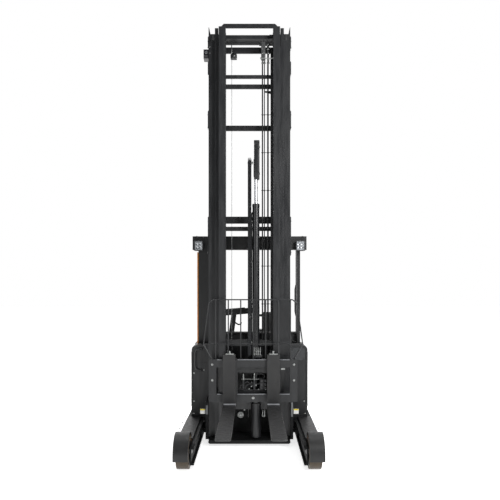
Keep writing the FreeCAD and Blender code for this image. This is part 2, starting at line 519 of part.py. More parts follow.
side = box("reach_side", ("outer_half", "outer_half + side_plate"), (back("side_front"), back("side_tail")),
           ("side_low", "side_top"))
rollers = [side]
for word in ("front", "rear"):
    place = ("outer_half + side_plate", back("roller_" + word), "reach_z")
    rollers.append(rod("reach_pin_" + word, "x", place,
                       "leg_outer - leg_web - roller_gap - outer_half - side_plate", "roller_pin"))
    rollers.append(rod("reach_roller_" + word, "x",
                       ("leg_outer - leg_web - roller_gap - roller_wide", back("roller_" + word), "reach_z"),
                       "roller_wide", "roller_radius"))
side_left = fuse("reach_side_left", rollers)
cross = box("reach_tie", ("-outer_half - side_plate", "outer_half + side_plate"),
            (back("tie_front"), back("side_tail")), ("tie_low", "side_top"))
lug = box("reach_lug", ("reach_x - 28", "reach_x + 28"), (back("tie_front"), back("side_tail")),
          ("reach_z - 28", "tie_low"))
foot = padded("reach_foot", "y", [
    ("-foot_half + foot_edge", "foot_low"), ("foot_half - foot_edge", "foot_low"),
    ("foot_half", "foot_low + foot_edge"), ("foot_half", "foot_top - foot_edge"),
    ("foot_half - foot_edge", "foot_top"), ("-foot_half + foot_edge", "foot_top"),
    ("-foot_half", "foot_top - foot_edge"), ("-foot_half", "foot_low + foot_edge")],
    back("foot_front"), "outer_front - foot_front")
foot_side = box("reach_foot_side", ("foot_half - 2 * foot_edge", "outer_half + side_plate"),
                (back("side_front"), back("outer_front")), ("side_low", "foot_top - foot_edge"))
belly = box("reach_belly", ("-belly_half", "belly_half"), (back("outer_front"), back("side_tail")),
            ("foot_low", "foot_top - belly_step"))
fuse("reach_carriage", [side_left, mirrored("reach_side_twin", side_left), cross, lug, foot, belly, foot_side,
                        mirrored("reach_foot_twin", foot_side)])

# ---- mast, outer stage ----
outer = padded("outer_channel", "z", [
    ("outer_half", back("outer_front")), ("outer_half", back(outer_tail)),
    ("outer_half - outer_wide", back(outer_tail)), ("outer_half - outer_wide", back(outer_tail + " - outer_wall")),
    ("outer_half - outer_web", back(outer_tail + " - outer_wall")),
    ("outer_half - outer_web", back("outer_front + outer_wall")),
    ("outer_half - outer_wide", back("outer_front + outer_wall")), ("outer_half - outer_wide", back("outer_front"))],
    "outer_low", "outer_top - outer_low")
outer_parts = [outer, mirrored("outer_channel_twin", outer)]
outer_ties = {"top": "outer_top - outer_top_drop", "mid": "outer_mid_tie", "low": "outer_low_tie"}
for word, low in outer_ties.items():
    outer_parts.append(box("outer_tie_" + word, ("-outer_half", "outer_half"),
                           (back(f"{outer_tail} + tie_gap"), back(f"{outer_tail} + tie_gap + tie_plate")),
                           (low, low + " + outer_%s_high" % word)))
outer_arms = {"top": outer_ties["top"], "upper": "outer_top - outer_upper_drop", "mid": "outer_mid_arm",
              "low": "outer_low_arm"}
for word, low in outer_arms.items():
    arm = box("outer_arm_" + word, ("outer_half", "outer_half + bracket_thick"),
              (back(f"{outer_tail} - bracket_deep"), back(f"{outer_tail} + tie_gap + tie_plate")),
              (low, low + " + outer_%s_tall" % word))
    soft = rounded("outer_arm_soft_" + word, arm, "bracket_round", lambda edge: edge.BoundBox.YLength >
                   size("bracket_deep") / 2 and edge.CenterOfMass.x > size("outer_half") + 1)
    outer_parts += [soft, mirrored("outer_arm_twin_" + word, soft)]
tip = padded("outer_web_tip", "y", [("outer_half - tip_foot", "outer_top - outer_web"),
                                    ("outer_half", "outer_top - outer_web"),
                                    ("outer_half", "outer_top + outer_tip"),
                                    ("outer_half - tip_top", "outer_top + outer_tip"),
                                    ("outer_half - tip_foot", "outer_top")],
             back("outer_front"), "outer_deep")
outer_parts += [tip, mirrored("outer_tip_twin", tip)]
lift_base = "(outer_low + lift_foot_high)"
lift_foot = box("lift_foot", ("lift_x - lift_radius", "outer_half"),
                (back(f"{middle_tail} + tie_gap"), back(outer_tail)), ("outer_low", "outer_low + lift_foot_high"))
outer_parts += [lift_foot, mirrored("lift_foot_twin", lift_foot)]
fuse("mast_outer", outer_parts)
lift_tube = cut("lift_tube_left", rod("lift_tube_solid", "z", ("lift_x", back("lift_back"), lift_base),
                                      f"outer_top - lift_tube_drop - {lift_base}", "lift_radius"),
                [rod("lift_tube_bore", "z", ("lift_x", back("lift_back"), f"{lift_base} + lift_tube_floor"),
                     f"outer_top - lift_tube_drop - {lift_base} - lift_tube_floor", "lift_bore")])
both_sides("lift_cylinders", lift_tube)

# ---- mast, middle stage ----
middle = padded("middle_beam", "z", [
    ("middle_half - middle_wide", back("middle_front")), ("middle_half", back("middle_front")),
    ("middle_half", back("middle_front + middle_wall")), (web_edge, back("middle_front + middle_wall")),
    (web_edge, back(middle_tail + " - middle_wall")),
    ("outer_half - outer_web - stage_gap", back(middle_tail + " - middle_wall")),
    ("outer_half - outer_web - stage_gap", back(middle_tail)), ("middle_half - middle_wide", back(middle_tail)),
    ("middle_half - middle_wide", back(middle_tail + " - middle_wall")),
    (web_edge + " - middle_web", back(middle_tail + " - middle_wall")),
    (web_edge + " - middle_web", back("middle_front + middle_wall")),
    ("middle_half - middle_wide", back("middle_front + middle_wall"))],
    "stage_low", "middle_top - stage_low")
middle_parts = [middle, mirrored("middle_beam_twin", middle)]
for word in ("upper", "mid", "low"):
    middle_parts.append(box("middle_tie_" + word, ("-middle_half + middle_wide", "middle_half - middle_wide"),
                            (back(middle_tail + " - middle_wall"), back(middle_tail)),
                            ("middle_%s_tie" % word, "middle_%s_tie + middle_%s_high" % (word, word))))
middle_parts.append(box("middle_head", ("-" + web_edge, web_edge),
                        (back("head_tie_front"), back("head_tie_tail")), ("middle_top - head_drop", "middle_top - head_drop + head_high")))
slot = box("middle_slot", ("inner_half", "inner_half + slot_wide"),
           (back("middle_front"), back("middle_front + middle_wall")), ("middle_top - slot_high", "middle_top"))
cut("mast_middle", fuse("middle_solid", middle_parts), [slot, mirrored("middle_slot_twin", slot)])
lift_bar = rod("lift_rod_left", "z", ("lift_x", back("lift_back"), "lift_inside"), "middle_top - head_drop - lift_inside",
               "lift_rod")
both_sides("lift_rods", lift_bar)

# ---- mast, inner stage ----
inner = padded("inner_beam", "z", [
    ("inner_half - inner_wide", back("inner_front")), ("inner_half", back("inner_front")),
    ("inner_half", back("inner_front + inner_wall")), (inner_edge, back("inner_front + inner_wall")),
    (inner_edge, back(inner_tail + " - inner_wall")),
    (web_edge + " - middle_web - stage_gap", back(inner_tail + " - inner_wall")),
    (web_edge + " - middle_web - stage_gap", back(inner_tail)), ("inner_half - inner_wide", back(inner_tail)),
    ("inner_half - inner_wide", back(inner_tail + " - inner_wall")),
    (inner_edge + " - inner_web", back(inner_tail + " - inner_wall")),
    (inner_edge + " - inner_web", back("inner_front + inner_wall")),
    ("inner_half - inner_wide", back("inner_front + inner_wall"))],
    "stage_low", "inner_top - stage_low")
inner_parts = [inner, mirrored("inner_beam_twin", inner)]
for word in ("upper", "mid", "low"):
    inner_parts.append(box("inner_tie_" + word, ("-inner_half + inner_wide", "inner_half - inner_wide"),
                           (back(inner_tail + " - inner_wall"), back(inner_tail)),
                           ("inner_%s_tie" % word, "inner_%s_tie + inner_%s_high" % (word, word))))
inner_parts.append(box("inner_head_beam", (f"-{inner_edge}", inner_edge),
                       (back("beam_tie_front"), back("beam_tie_tail")), ("inner_top - beam_drop", "inner_top - beam_drop + beam_high")))
inner_parts.append(padded("mast_crown", "y", [
    ("-crown_half", "inner_top - crown_leg"), ("crown_leg - crown_half", "inner_top - crown_leg"),
    ("crown_leg - crown_half", "inner_top + crown_rise - crown_high"),
    ("crown_half - crown_leg", "inner_top + crown_rise - crown_high"),
    ("crown_half - crown_leg", "inner_top - crown_leg"), ("crown_half", "inner_top - crown_leg"),
    ("crown_half", "inner_top + crown_rise - crown_cut"),
    ("crown_half - crown_cut", "inner_top + crown_rise"), ("crown_cut - crown_half", "inner_top + crown_rise"),
    ("-crown_half", "inner_top + crown_rise - crown_cut")], back("crown_front"), "crown_deep"))
inner_parts.append(box("free_foot", ("free_x - free_radius", "free_x + free_radius"),
                       (back("free_back - free_radius"), back(inner_tail)), ("free_low - tie_plate", "free_low")))
inner_parts.append(rod("free_sleeve_bar", "z", ("free_x", back("free_back"), "stage_low + stage_gap"),
                       "free_low - stage_low - stage_gap", "free_sleeve"))
fuse("mast_inner", inner_parts)
cut("free_cylinder", rod("free_tube_solid", "z", ("free_x", back("free_back"), "free_low"),
                         "free_top - free_low", "free_radius"),
    [rod("free_tube_bore", "z", ("free_x", back("free_back"), "free_low + 40"), "free_top - free_low - 40",
         "free_bore")])


def hose(word):
    """A hose that comes up behind the inner stage, turns over its sheave and ends in front of it."""
    place = "hose_" + word
    rear = rod("hose_rear_" + word, "z", (place, back("hose_back"), "hose_low"), f"{hose_turn} - hose_low",
               place + "_radius")
    front = rod("hose_front_" + word, "z", (place, back("hose_back - 2 * hose_roll"), f"{hose_turn} - hose_drop"),
                "hose_drop", place + "_radius")
    bend = doc.addObject("Part::Torus", "hose_bend_" + word)
    bend.Angle3 = 180
    bend.Placement = FreeCAD.Placement(FreeCAD.Vector(), FreeCAD.Rotation(
        FreeCAD.Vector(0, 1, 0), FreeCAD.Vector(0, 0, 1), FreeCAD.Vector(1, 0, 0), "XYZ"))
    bend.setExpression("Radius1", ex("hose_roll"))
    bend.setExpression("Radius2", ex(place + "_radius"))
    for axis, middle in zip("xyz", (place, back("hose_back - hose_roll"), hose_turn)):
        bend.setExpression("Placement.Base." + axis, ex(middle))
    return fuse("hose_run_" + word, [rear, bend, front])


sheaves = [rod("hose_shaft_bar", "x", ("hose_shaft", back("hose_back - hose_roll"), hose_turn),
               f"{inner_edge} - inner_web - hose_shaft", "hose_axle")]
for word in ("first", "second", "third"):
    half = "(hose_%s_radius + hose_rim)" % word
    sheaves.append(rod("hose_disc_" + word, "x",
                       ("hose_%s - %s" % (word, half), back("hose_back - hose_roll"), hose_turn),
                       "2 * " + half, "hose_roll - hose_%s_radius - 1" % word))
guide = box("hose_guide_strip", ("inner_half - inner_wide - hose_guide", "inner_half - inner_wide + inner_wall"),
            (back(inner_tail), back(f"{inner_tail} + hose_guide_deep")),
            ("hose_low", f"{hose_turn} - hose_guide_drop"))
together("mast_hoses", [hose("first"), hose("second"), hose("third"), fuse("hose_sheaves", sheaves), guide])
box("mast_sensor", ("-outer_half - sensor_wide", "-outer_half"),
    (back("outer_front + 20"), back("outer_front + 20 + sensor_deep")),
    ("outer_top - sensor_drop", "outer_top - sensor_drop + sensor_high"))

# ---- free lift ram, sheave and chain ----
ram = rod("ram_bar", "z", ("free_x", back("free_back"), "free_inside"), "head_low - free_inside", "free_rod")
head = box("ram_head", ("free_x - head_right", "free_x + head_left"),
           (back("free_back - head_half"), back("free_back + head_half")), ("head_low", "head_top"))
pin = rod("sheave_axle", "x", ("sheave_x - sheave_wide / 2", back("free_back"), "sheave_z"),
          "free_x - head_right - sheave_x + sheave_wide / 2", "sheave_pin")
fuse("free_ram", [ram, head, pin])
cut("chain_sheave", rod("sheave_disc", "x", ("sheave_x - sheave_wide / 2", back("free_back"), "sheave_z"),
                        "sheave_wide", "sheave_radius"),
    [rod("sheave_bore", "x", ("sheave_x - sheave_wide / 2", back("free_back"), "sheave_z"), "sheave_wide",
         "sheave_pin + shaft_gap")])
box("chain_back", ("sheave_x - chain_wide / 2", "sheave_x + chain_wide / 2"),
    (back("free_back + sheave_radius"), back("free_back + sheave_radius + chain_thick")),
    ("chain_low", "sheave_z"))
box("chain_front", ("sheave_x - chain_wide / 2", "sheave_x + chain_wide / 2"),
    (back("free_back - sheave_radius - chain_thick"), back("free_back - sheave_radius")),
    ("anchor_z", "sheave_z"))

# ---- lift carriage ----
lift_side = box("lift_side_left", ("lift_half - lift_side", "lift_half"), (back("lift_front"), back("lift_tail")),
                ("lift_low", "lift_top"))
lift_side_parts = [lift_side]
for word, height in (("low", "lift_low + lift_roller + 5"), ("high", "lift_top - lift_roller - 5")):
    lift_side_parts.append(rod("lift_pin_" + word, "x", ("lift_half", back("free_back"), height),
                               inner_edge + " - inner_web - 4 - lift_half", "roller_pin"))
    lift_side_parts.append(rod("lift_roller_" + word, "x",
                               (inner_edge + " - inner_web - 4 - lift_roller_wide", back("free_back"), height),
                               "lift_roller_wide", "lift_roller"))
side_solid = fuse("lift_side_fused", lift_side_parts)
lift_parts = [side_solid, mirrored("lift_side_twin", side_solid)]
for word, low in (("low", "lift_low"), ("high", "pivot_z - ear_round - lift_cross_high - 10")):
    lift_parts.append(box("lift_cross_" + word, ("-lift_half", "lift_half"),
                          (back("lift_front"), back("lift_front + lift_plate")), (low, low + " + lift_cross_high")))
for i, place in enumerate(("ear_x", "ear_x + 2 * ear_thick + 2 * move_gap", "-ear_x - ear_thick",
                           "-ear_x - 3 * ear_thick - 2 * move_gap")):
    ear = box("lift_ear_%d" % i, (place, place + " + ear_thick"),
              (back("pivot_back - ear_round"), back("pivot_back + ear_round")),
              ("pivot_z - ear_round - lift_cross_high / 2", "pivot_z + ear_round"))
    lift_parts.append(ear)
for i, place in enumerate(("ear_x", "-ear_x - 3 * ear_thick - 2 * move_gap")):
    lift_parts.append(rod("tilt_pin_%d" % i, "x", (place, back("pivot_back"), "pivot_z"),
                          "3 * ear_thick + 2 * move_gap", "pivot_radius"))
lift_parts.append(box("chain_anchor", ("sheave_x - chain_wide / 2", "sheave_x + chain_wide / 2"),
                      (back("lift_front"), back("free_back - sheave_radius")), ("anchor_z - 60", "anchor_z")))
lift_parts.append(box("anchor_web", ("sheave_x - chain_wide / 2", "sheave_x + chain_wide / 2"),
                      (back("lift_front"), back("lift_front + lift_plate")),
                      ("pivot_z - ear_round - lift_cross_high - 10", "anchor_z")))
fuse("lift_carriage", lift_parts)

# ---- tilting frame ----
plate = box("tilt_plate_block", ("-tilt_half", "tilt_half"), (back("tilt_front"), back("tilt_front + tilt_plate")),
            ("tilt_low", "tilt_top"))
hollow = box("tilt_window", ("-tilt_half + tilt_bar", "tilt_half - tilt_bar"),
             (back("tilt_front"), back("tilt_front + tilt_plate")), ("tilt_low + tilt_bar", "tilt_top - tilt_head"))
tilt_parts = [cut("tilt_plate_cut", plate, [hollow])]
for i, place in enumerate(("ear_x + ear_thick + move_gap", "-ear_x - 2 * ear_thick - move_gap")):
    eye = cut("tilt_ear_%d" % i, box("tilt_ear_block_%d" % i, (place, place + " + ear_thick"),
                                     (back("tilt_front"), back("pivot_back + ear_round")),
                                     ("pivot_z - ear_round", "pivot_z + ear_round")),
              [rod("tilt_eye_%d" % i, "x", (place, back("pivot_back"), "pivot_z"), "ear_thick",
                   "pivot_radius + shaft_gap")])
    tilt_parts.append(eye)
fuse("tilt_frame", tilt_parts)

# ---- fork carriage, forks and load backrest ----
def carriage_block(name, x, y, z):
    """A block whose X is measured from the middle of the fork carriage."""
    return box(name, ("shift_set + %s" % x[0], "shift_set + %s" % x[1]), y, z)


bar_y = (back("fork_face + fork_thick"), back("fork_face + fork_thick + bar_thick"))
post_z = ("bar_low + bar_step", "bar_top - bar_step")
bars = [carriage_block("bar_upper", ("-cheek_half", "cheek_half"), bar_y, ("bar_top - bar_high", "bar_top")),
        carriage_block("bar_lower", ("-cheek_half", "cheek_half"), bar_y, ("bar_low", "bar_low + bar_high")),
        carriage_block("bar_post_left", ("bar_mid", "bar_mid + bar_post"), bar_y, post_z),
        carriage_block("bar_post_right", ("-bar_mid - bar_post", "-bar_mid"), bar_y, post_z),
        carriage_block("bar_cheek_left", ("cheek_half - cheek_wide", "cheek_half"), bar_y, post_z),
        carriage_block("bar_cheek_right", ("-cheek_half", "-cheek_half + cheek_wide"), bar_y, post_z)]
fuse("fork_carriage", bars)


def fork(side):
    """One fork: shank with its hook over the upper bar, and a blade that thins towards a rounded tip."""
    middle = "fork_%s_x" % side
    profile = padded("fork_profile_" + side, "x", [
        (back("fork_face"), "fork_low + fork_thick"), (back("fork_face"), "fork_top"),
        (back("fork_face + fork_thick + hook_deep"), "fork_top"),
        (back("fork_face + fork_thick + hook_deep"), "bar_top"), (back("fork_face + fork_thick"), "bar_top"),
        (back("fork_face + fork_thick"), "fork_low + 24"), (back("fork_face + fork_thick - 24"), "fork_low"),
        (back("fork_face - fork_long + fork_taper"), "fork_low"),
        (back("fork_face - fork_long"), "fork_low + fork_thick - fork_tip"),
        (back("fork_face - fork_long"), "fork_low + fork_thick")], middle + " - fork_wide / 2", "fork_wide")
    doc.recompute()
    tip = size("axle_y") + size("fork_face") - size("fork_long")
    return rounded("fork_" + side, profile, "fork_tip_cut",
                   lambda edge: upright_edge(edge) and abs(edge.Vertexes[0].Point.y - tip) < 0.5)


together("forks", [fork("left"), fork("right")])


def rest_bar(name, start, end):
    """A round bar of the load backrest between two places in its plane, each (from the middle, height)."""
    bar = doc.addObject("Part::Cylinder", name)
    run = "((%s) - (%s))" % (end[0], start[0])
    rise = "((%s) - (%s))" % (end[1], start[1])
    bar.setExpression("Radius", ex("rest_rod"))
    bar.setExpression("Height", ex("sqrt(%s ^ 2 + %s ^ 2)" % (run, rise)))
    bar.setExpression("Placement.Base.x", ex("shift_set + " + start[0]))
    bar.setExpression("Placement.Base.y", ex(back("rest_back")))
    bar.setExpression("Placement.Base.z", ex(start[1]))
    bar.setExpression("Placement.Rotation.Axis.y", "1")
    bar.setExpression("Placement.Rotation.Axis.z", "0")
    bar.setExpression("Placement.Rotation.Angle", ex("atan2(%s; %s)" % (run, rise)))
    return bar


rest_parts = []
for side, sign in (("left", ""), ("right", "-")):
    corners = [(sign + "rest_foot_half", "bar_top - bar_step"), (sign + "rest_wide_half", "rest_wide_z"),
               (sign + "rest_shoulder_half", "rest_shoulder"), (sign + "rest_top_half", "rest_top")]
    for i in range(3):
        rest_parts.append(rest_bar("rest_%s_%d" % (side, i), corners[i], corners[i + 1]))
    for i in range(1, 3):
        knee = doc.addObject("Part::Sphere", "rest_knee_%s_%d" % (side, i))
        knee.setExpression("Radius", ex("rest_rod"))
        knee.setExpression("Placement.Base.x", ex("shift_set + " + corners[i][0]))
        knee.setExpression("Placement.Base.y", ex(back("rest_back")))
        knee.setExpression("Placement.Base.z", ex(corners[i][1]))
        rest_parts.append(knee)
rest_parts.append(rest_bar("rest_top_rail", ("-rest_top_half", "rest_top"), ("rest_top_half", "rest_top")))
rest_parts.append(rest_bar("rest_mid_rail", ("-rest_wide_half", "rest_wide_z"), ("rest_wide_half", "rest_wide_z")))
for i in range(-3, 4):
    rest_parts.append(rest_bar("rest_rod_%d" % (i + 3), ("%d * rest_step" % i, "bar_top"),
                               ("%d * rest_step" % i, "rest_top")))
cut("load_backrest", fuse("rest_joined", rest_parts), [doc.getObject("fork_carriage")])

# ---- one file for each piece ----
NODES = [
    "load_tyre_left", "load_hub_left", "load_tyre_right", "load_hub_right", "load_axles", "reach_legs",
    "load_guards", "chassis_frame", "battery", "battery_wall", "rear_body", "drive_unit", "drive_motor",
    "drive_tyre", "drive_hub", "dashboard", "armrest", "steering_column", "steering_wheel", "seat_base",
    "seat_cushion", "seat_rest", "overhead_guard", "side_panel", "work_lamps", "reach_cylinder", "reach_rod",
    "reach_carriage", "mast_outer", "lift_cylinders", "mast_middle", "lift_rods", "mast_inner", "free_cylinder",
    "mast_hoses", "mast_sensor", "free_ram", "chain_sheave", "chain_back", "chain_front", "lift_carriage",
    "tilt_frame", "fork_carriage", "forks", "load_backrest",
]
doc.recompute()
faults = [thing.Label for thing in doc.Objects
          if "Invalid" in thing.State or "Error" in thing.State
          or (hasattr(thing, "Shape") and thing.isDerivedFrom("Part::Feature")
              and (thing.Shape.isNull() or not thing.Shape.isValid()))]
if faults:
    raise RuntimeError("faulty shapes: " + ", ".join(faults))
os.makedirs("parts", exist_ok=True)
for label in NODES:
    doc.getObjectsByLabel(label)[0].Shape.exportStep(os.path.join("parts", label + ".step"))
    print(label, "solids", len(doc.getObjectsByLabel(label)[0].Shape.Solids))
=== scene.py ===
import json
import math

import bmesh
import bpy
from mathutils import Matrix, Vector
from mathutils.bvhtree import BVHTree


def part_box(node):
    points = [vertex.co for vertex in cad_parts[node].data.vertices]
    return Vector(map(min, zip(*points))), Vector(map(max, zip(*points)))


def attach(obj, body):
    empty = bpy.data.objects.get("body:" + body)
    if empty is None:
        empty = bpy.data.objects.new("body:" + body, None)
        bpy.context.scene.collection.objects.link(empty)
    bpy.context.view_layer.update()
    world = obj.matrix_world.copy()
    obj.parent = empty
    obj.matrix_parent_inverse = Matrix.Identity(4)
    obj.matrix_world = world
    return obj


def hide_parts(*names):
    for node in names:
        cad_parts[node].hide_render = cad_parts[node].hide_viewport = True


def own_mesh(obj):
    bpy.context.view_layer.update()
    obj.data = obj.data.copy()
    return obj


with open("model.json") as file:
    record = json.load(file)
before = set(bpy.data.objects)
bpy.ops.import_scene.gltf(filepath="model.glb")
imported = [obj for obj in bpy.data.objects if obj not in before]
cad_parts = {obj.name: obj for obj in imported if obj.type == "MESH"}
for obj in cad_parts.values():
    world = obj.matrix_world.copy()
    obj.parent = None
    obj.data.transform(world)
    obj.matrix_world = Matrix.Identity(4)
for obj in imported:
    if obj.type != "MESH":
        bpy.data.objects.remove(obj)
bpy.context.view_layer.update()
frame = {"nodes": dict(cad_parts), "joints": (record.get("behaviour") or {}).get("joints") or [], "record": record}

mm = 0.001      # sizes and places of the pieces are in millimetres, like the CAD, until a piece is closed


def toLinear(text):
    channels = [int(text[i:i + 2], 16) / 255 for i in (1, 3, 5)]
    return [c / 12.92 if c <= 0.04045 else ((c + 0.055) / 1.055) ** 2.4 for c in channels] + [1.0]


def addNode(tree, kind, settings=None, inputs=None):
    node = tree.nodes.new(kind)
    for name, value in (settings or {}).items():
        setattr(node, name, value)
    for key, value in (inputs or {}).items():
        if isinstance(value, bpy.types.NodeSocket):
            tree.links.new(value, node.inputs[key])
        else:
            node.inputs[key].default_value = value
    return node


def startMaterial(name, roughness, metallic=0.0, shader=None):
    material = bpy.data.materials.new(name)
    material.use_nodes = True
    tree = material.node_tree
    surface = tree.nodes["Principled BSDF"]
    surface.inputs["Roughness"].default_value = roughness
    surface.inputs["Metallic"].default_value = metallic
    for key, value in (shader or {}).items():
        surface.inputs[key].default_value = value
    place = addNode(tree, "ShaderNodeTexCoord").outputs["Object"]
    return material, tree, surface, place


def noise(tree, place, sizeMm, detail=3.0, stretch=None):
    if stretch:
        place = addNode(tree, "ShaderNodeMapping", None, {"Vector": place, "Scale": stretch}).outputs[0]
    return addNode(tree, "ShaderNodeTexNoise", None, {"Vector": place, "Scale": 1000 / sizeMm,
        "Detail": detail}).outputs["Fac"]


def spread(tree, value, low, high, toLow=0.0, toHigh=1.0):
    return addNode(tree, "ShaderNodeMapRange", None, {"Value": value, "From Min": low, "From Max": high,
        "To Min": toLow, "To Max": toHigh}).outputs[0]


def blendColour(tree, factor, first, second):
    return addNode(tree, "ShaderNodeMix", {"data_type": "RGBA"}, {0: factor, 6: first, 7: second}).outputs[2]


def calculate(tree, operation, first, second):
    return addNode(tree, "ShaderNodeMath", {"operation": operation}, {0: first, 1: second}).outputs[0]


def bump(tree, strength, depthMm, height, more=None):
    return addNode(tree, "ShaderNodeBump", None, {"Strength": strength, "Distance": depthMm * mm,
        "Height": height, **(more or {})}).outputs[0]


def mottle(tree, place, colours, sizeMm, detail):
    tone = spread(tree, noise(tree, place, sizeMm, detail), 0.3, 0.7)
    return blendColour(tree, tone, *[toLinear(colour) for colour in colours])


def dress(tree, surface, base, rough, relief):
    for key, value in (("Base Color", base), ("Roughness", rough), ("Normal", relief)):
        tree.links.new(value, surface.inputs[key])


# Powder-coated steel: baked satin black with fine orange peel, paler where corners rub, a little dust on top.
mastCoat = {"roughness": 0.36, "worn": "#56565a", "patchMm": 260, "peelMm": 2.4, "peel": 0.2, "edgeMm": 2.2,
    "wear": 0.3, "dust": 0.04, "shader": {}}


def powderCoat(name, *colours, **changes):
    look = {**mastCoat, **changes}
    rough = look["roughness"]
    material, tree, surface, place = startMaterial(name, rough, 0.0, look["shader"])
    base = mottle(tree, place, colours, look["patchMm"], 4)
    softNormal = addNode(tree, "ShaderNodeBevel", {"samples": 4}, {"Radius": look["edgeMm"] * mm}).outputs[0]
    trueNormal = addNode(tree, "ShaderNodeNewGeometry").outputs["True Normal"]
    facing = addNode(tree, "ShaderNodeVectorMath", {"operation": "DOT_PRODUCT"},
        {0: softNormal, 1: trueNormal}).outputs["Value"]
    rub = spread(tree, facing, 0.995, 0.80)
    rub = calculate(tree, "MULTIPLY", rub, spread(tree, noise(tree, place, 22, 5), 0.42, 0.62))
    base = blendColour(tree, calculate(tree, "MULTIPLY", rub, look["wear"]), base, toLinear(look["worn"]))
    up = addNode(tree, "ShaderNodeSeparateXYZ", None, {0: trueNormal}).outputs[2]
    dust = calculate(tree, "MULTIPLY", spread(tree, up, 0.6, 1.0, 0.0, look["dust"]),
        spread(tree, noise(tree, place, 60, 5), 0.35, 0.7))
    base = blendColour(tree, dust, base, toLinear("#8b8780"))
    scuff = spread(tree, noise(tree, place, 30, 6, (1.0, 1.0, 0.12)), 0.35, 0.75, rough - 0.07, rough + 0.13)
    peel = noise(tree, place, look["peelMm"], 1)
    dress(tree, surface, base, scuff, bump(tree, look["peel"], 0.12, peel, {"Normal": softNormal}))
    return material


mastPaint = powderCoat("powderCoatedMastSteel", "#222325", "#27282a")
carriagePaint = powderCoat("powderCoatedCarriagePlate", "#1b1c1e", "#202123", wear=0.45, roughness=0.38,
    patchMm=140)
chassisPaint = powderCoat("powderCoatedChassisPlate", "#242424", "#2b2b2a", dust=0.08, roughness=0.34,
    edgeMm=4, patchMm=180)
guardPaint = powderCoat("powderCoatedGuardTube", "#131415", "#17181a", edgeMm=5, roughness=0.42)
forkPaint = powderCoat("blackenedForgedFork", "#202021", "#262626", worn="#8d8a86", wear=0.5, roughness=0.45,
    patchMm=70, peelMm=5, peel=0.06, dust=0.0)
sidePaint = powderCoat("orangeYellowBakedEnamel", "#e08a10", "#d78311", worn="#f0b458", wear=0.25,
    roughness=0.3, peelMm=3, peel=0.15, dust=0.08)
# Pale steel-grey paint for painted highlights: fork heels, carriage bar edges and the console's top edge.
highlightSteelPaint = powderCoat("paintedHighlightSteel", "#8a8c8f", "#74767a", worn="#a5a6a8", wear=0.5, roughness=0.42,
    patchMm=30, dust=0.0)
# Darker copy of the black paint for the reach frame: painted shade for the shadowed low centre between the forks.
shadeDarkenedReachPaint = powderCoat("shadeDarkenedReachFrame", "#0f1011", "#131415", wear=0.2, roughness=0.6, dust=0.02,
    shader={"Specular IOR Level": 0.25})
legPaint = powderCoat("mattBlackLegChannel", "#1a1a1b", "#1f2020", roughness=0.62, edgeMm=3, dust=0.0,
    shader={"Specular IOR Level": 0.2})
wheelGuardPaint = powderCoat("satinWheelGuardEnamel", "#222223", "#282828", roughness=0.42, edgeMm=4,
    dust=0.0, shader={"Specular IOR Level": 0.35})
bulkheadPaint = powderCoat("satinBulkheadEnamel", "#17181a", "#1c1d1f", roughness=0.42, edgeMm=4, dust=0.06)
rearCoverPaint = powderCoat("satinCoverEnamel", "#232426", "#28292b", roughness=0.42, edgeMm=3, dust=0.06)
cylinderPaint = powderCoat("blackCylinderEnamel", "#17181a", "#1d1e20", roughness=0.3, edgeMm=1.2, peel=0.12)
bodyPaint = powderCoat("darkGreyBodyEnamel", "#1e1f20", "#242526", roughness=0.4, edgeMm=5, dust=0.06)


# Cast polyurethane: dark amber brown, faintly translucent, scuffed matt where it runs.
def castPolyurethane(name, colour, shade, dirt, roughness):
    material, tree, surface, place = startMaterial(name, roughness, 0.0,
        {"Subsurface Weight": 0.12, "Subsurface Scale": 0.004, "IOR": 1.5})
    base = mottle(tree, place, (colour, shade), 35, 5)
    grit = spread(tree, noise(tree, place, 5, 6), 0.55, 0.75)
    base = blendColour(tree, calculate(tree, "MULTIPLY", grit, 0.5), base, toLinear(dirt))
    relief = bump(tree, 0.5, 0.3, noise(tree, place, 3, 4))
    dress(tree, surface, base, spread(tree, grit, 0, 1, roughness, 0.75), relief)
    return material


wheelTread = castPolyurethane("castPolyurethaneTread", "#4a3b26", "#3d3122", "#2c2722", 0.45)


# Metals: colour from the metal, roughness from how it was finished, fine lines along the tool's path.
def workedMetal(name, colour, shade, roughness, patchMm, lineMm, relief, along=(1, 1, 1)):
    material, tree, surface, place = startMaterial(name, roughness, 1.0)
    base = mottle(tree, place, (colour, shade), patchMm, 5)
    lines = noise(tree, place, lineMm, 2, along)
    height = bump(tree, relief, 0.06, lines)
    dress(tree, surface, base, spread(tree, lines, 0.3, 0.7, roughness * 0.8, roughness * 1.25), height)
    return material


rodChrome = workedMetal("hardChromedRod", "#c9cbce", "#bfc2c6", 0.12, 90, 1.5, 0.05, (1, 1, 6))
pinSteel = workedMetal("zincPlatedSteel", "#a9abaa", "#8f918f", 0.32, 18, 2, 0.2)
hubIron = workedMetal("castIronHub", "#5c5c5d", "#48484a", 0.5, 25, 2.5, 0.6)
castAlloy = workedMetal("sandCastAluminium", "#8b8d8f", "#7a7c7e", 0.45, 14, 2.4, 0.5)
wireSteel = workedMetal("galvanisedWireRope", "#b4b6b6", "#8d8f90", 0.45, 4, 3, 0.4, (1, 1, 0.3))
chainSteel = workedMetal("oiledChainSteel", "#525355", "#2d2e30", 0.36, 9, 1.5, 0.3)
motorIron = powderCoat("paintedMotorCasting", "#3a3b3c", "#323334", roughness=0.55, patchMm=60, peelMm=2.8,
    peel=0.8, dust=0.3)


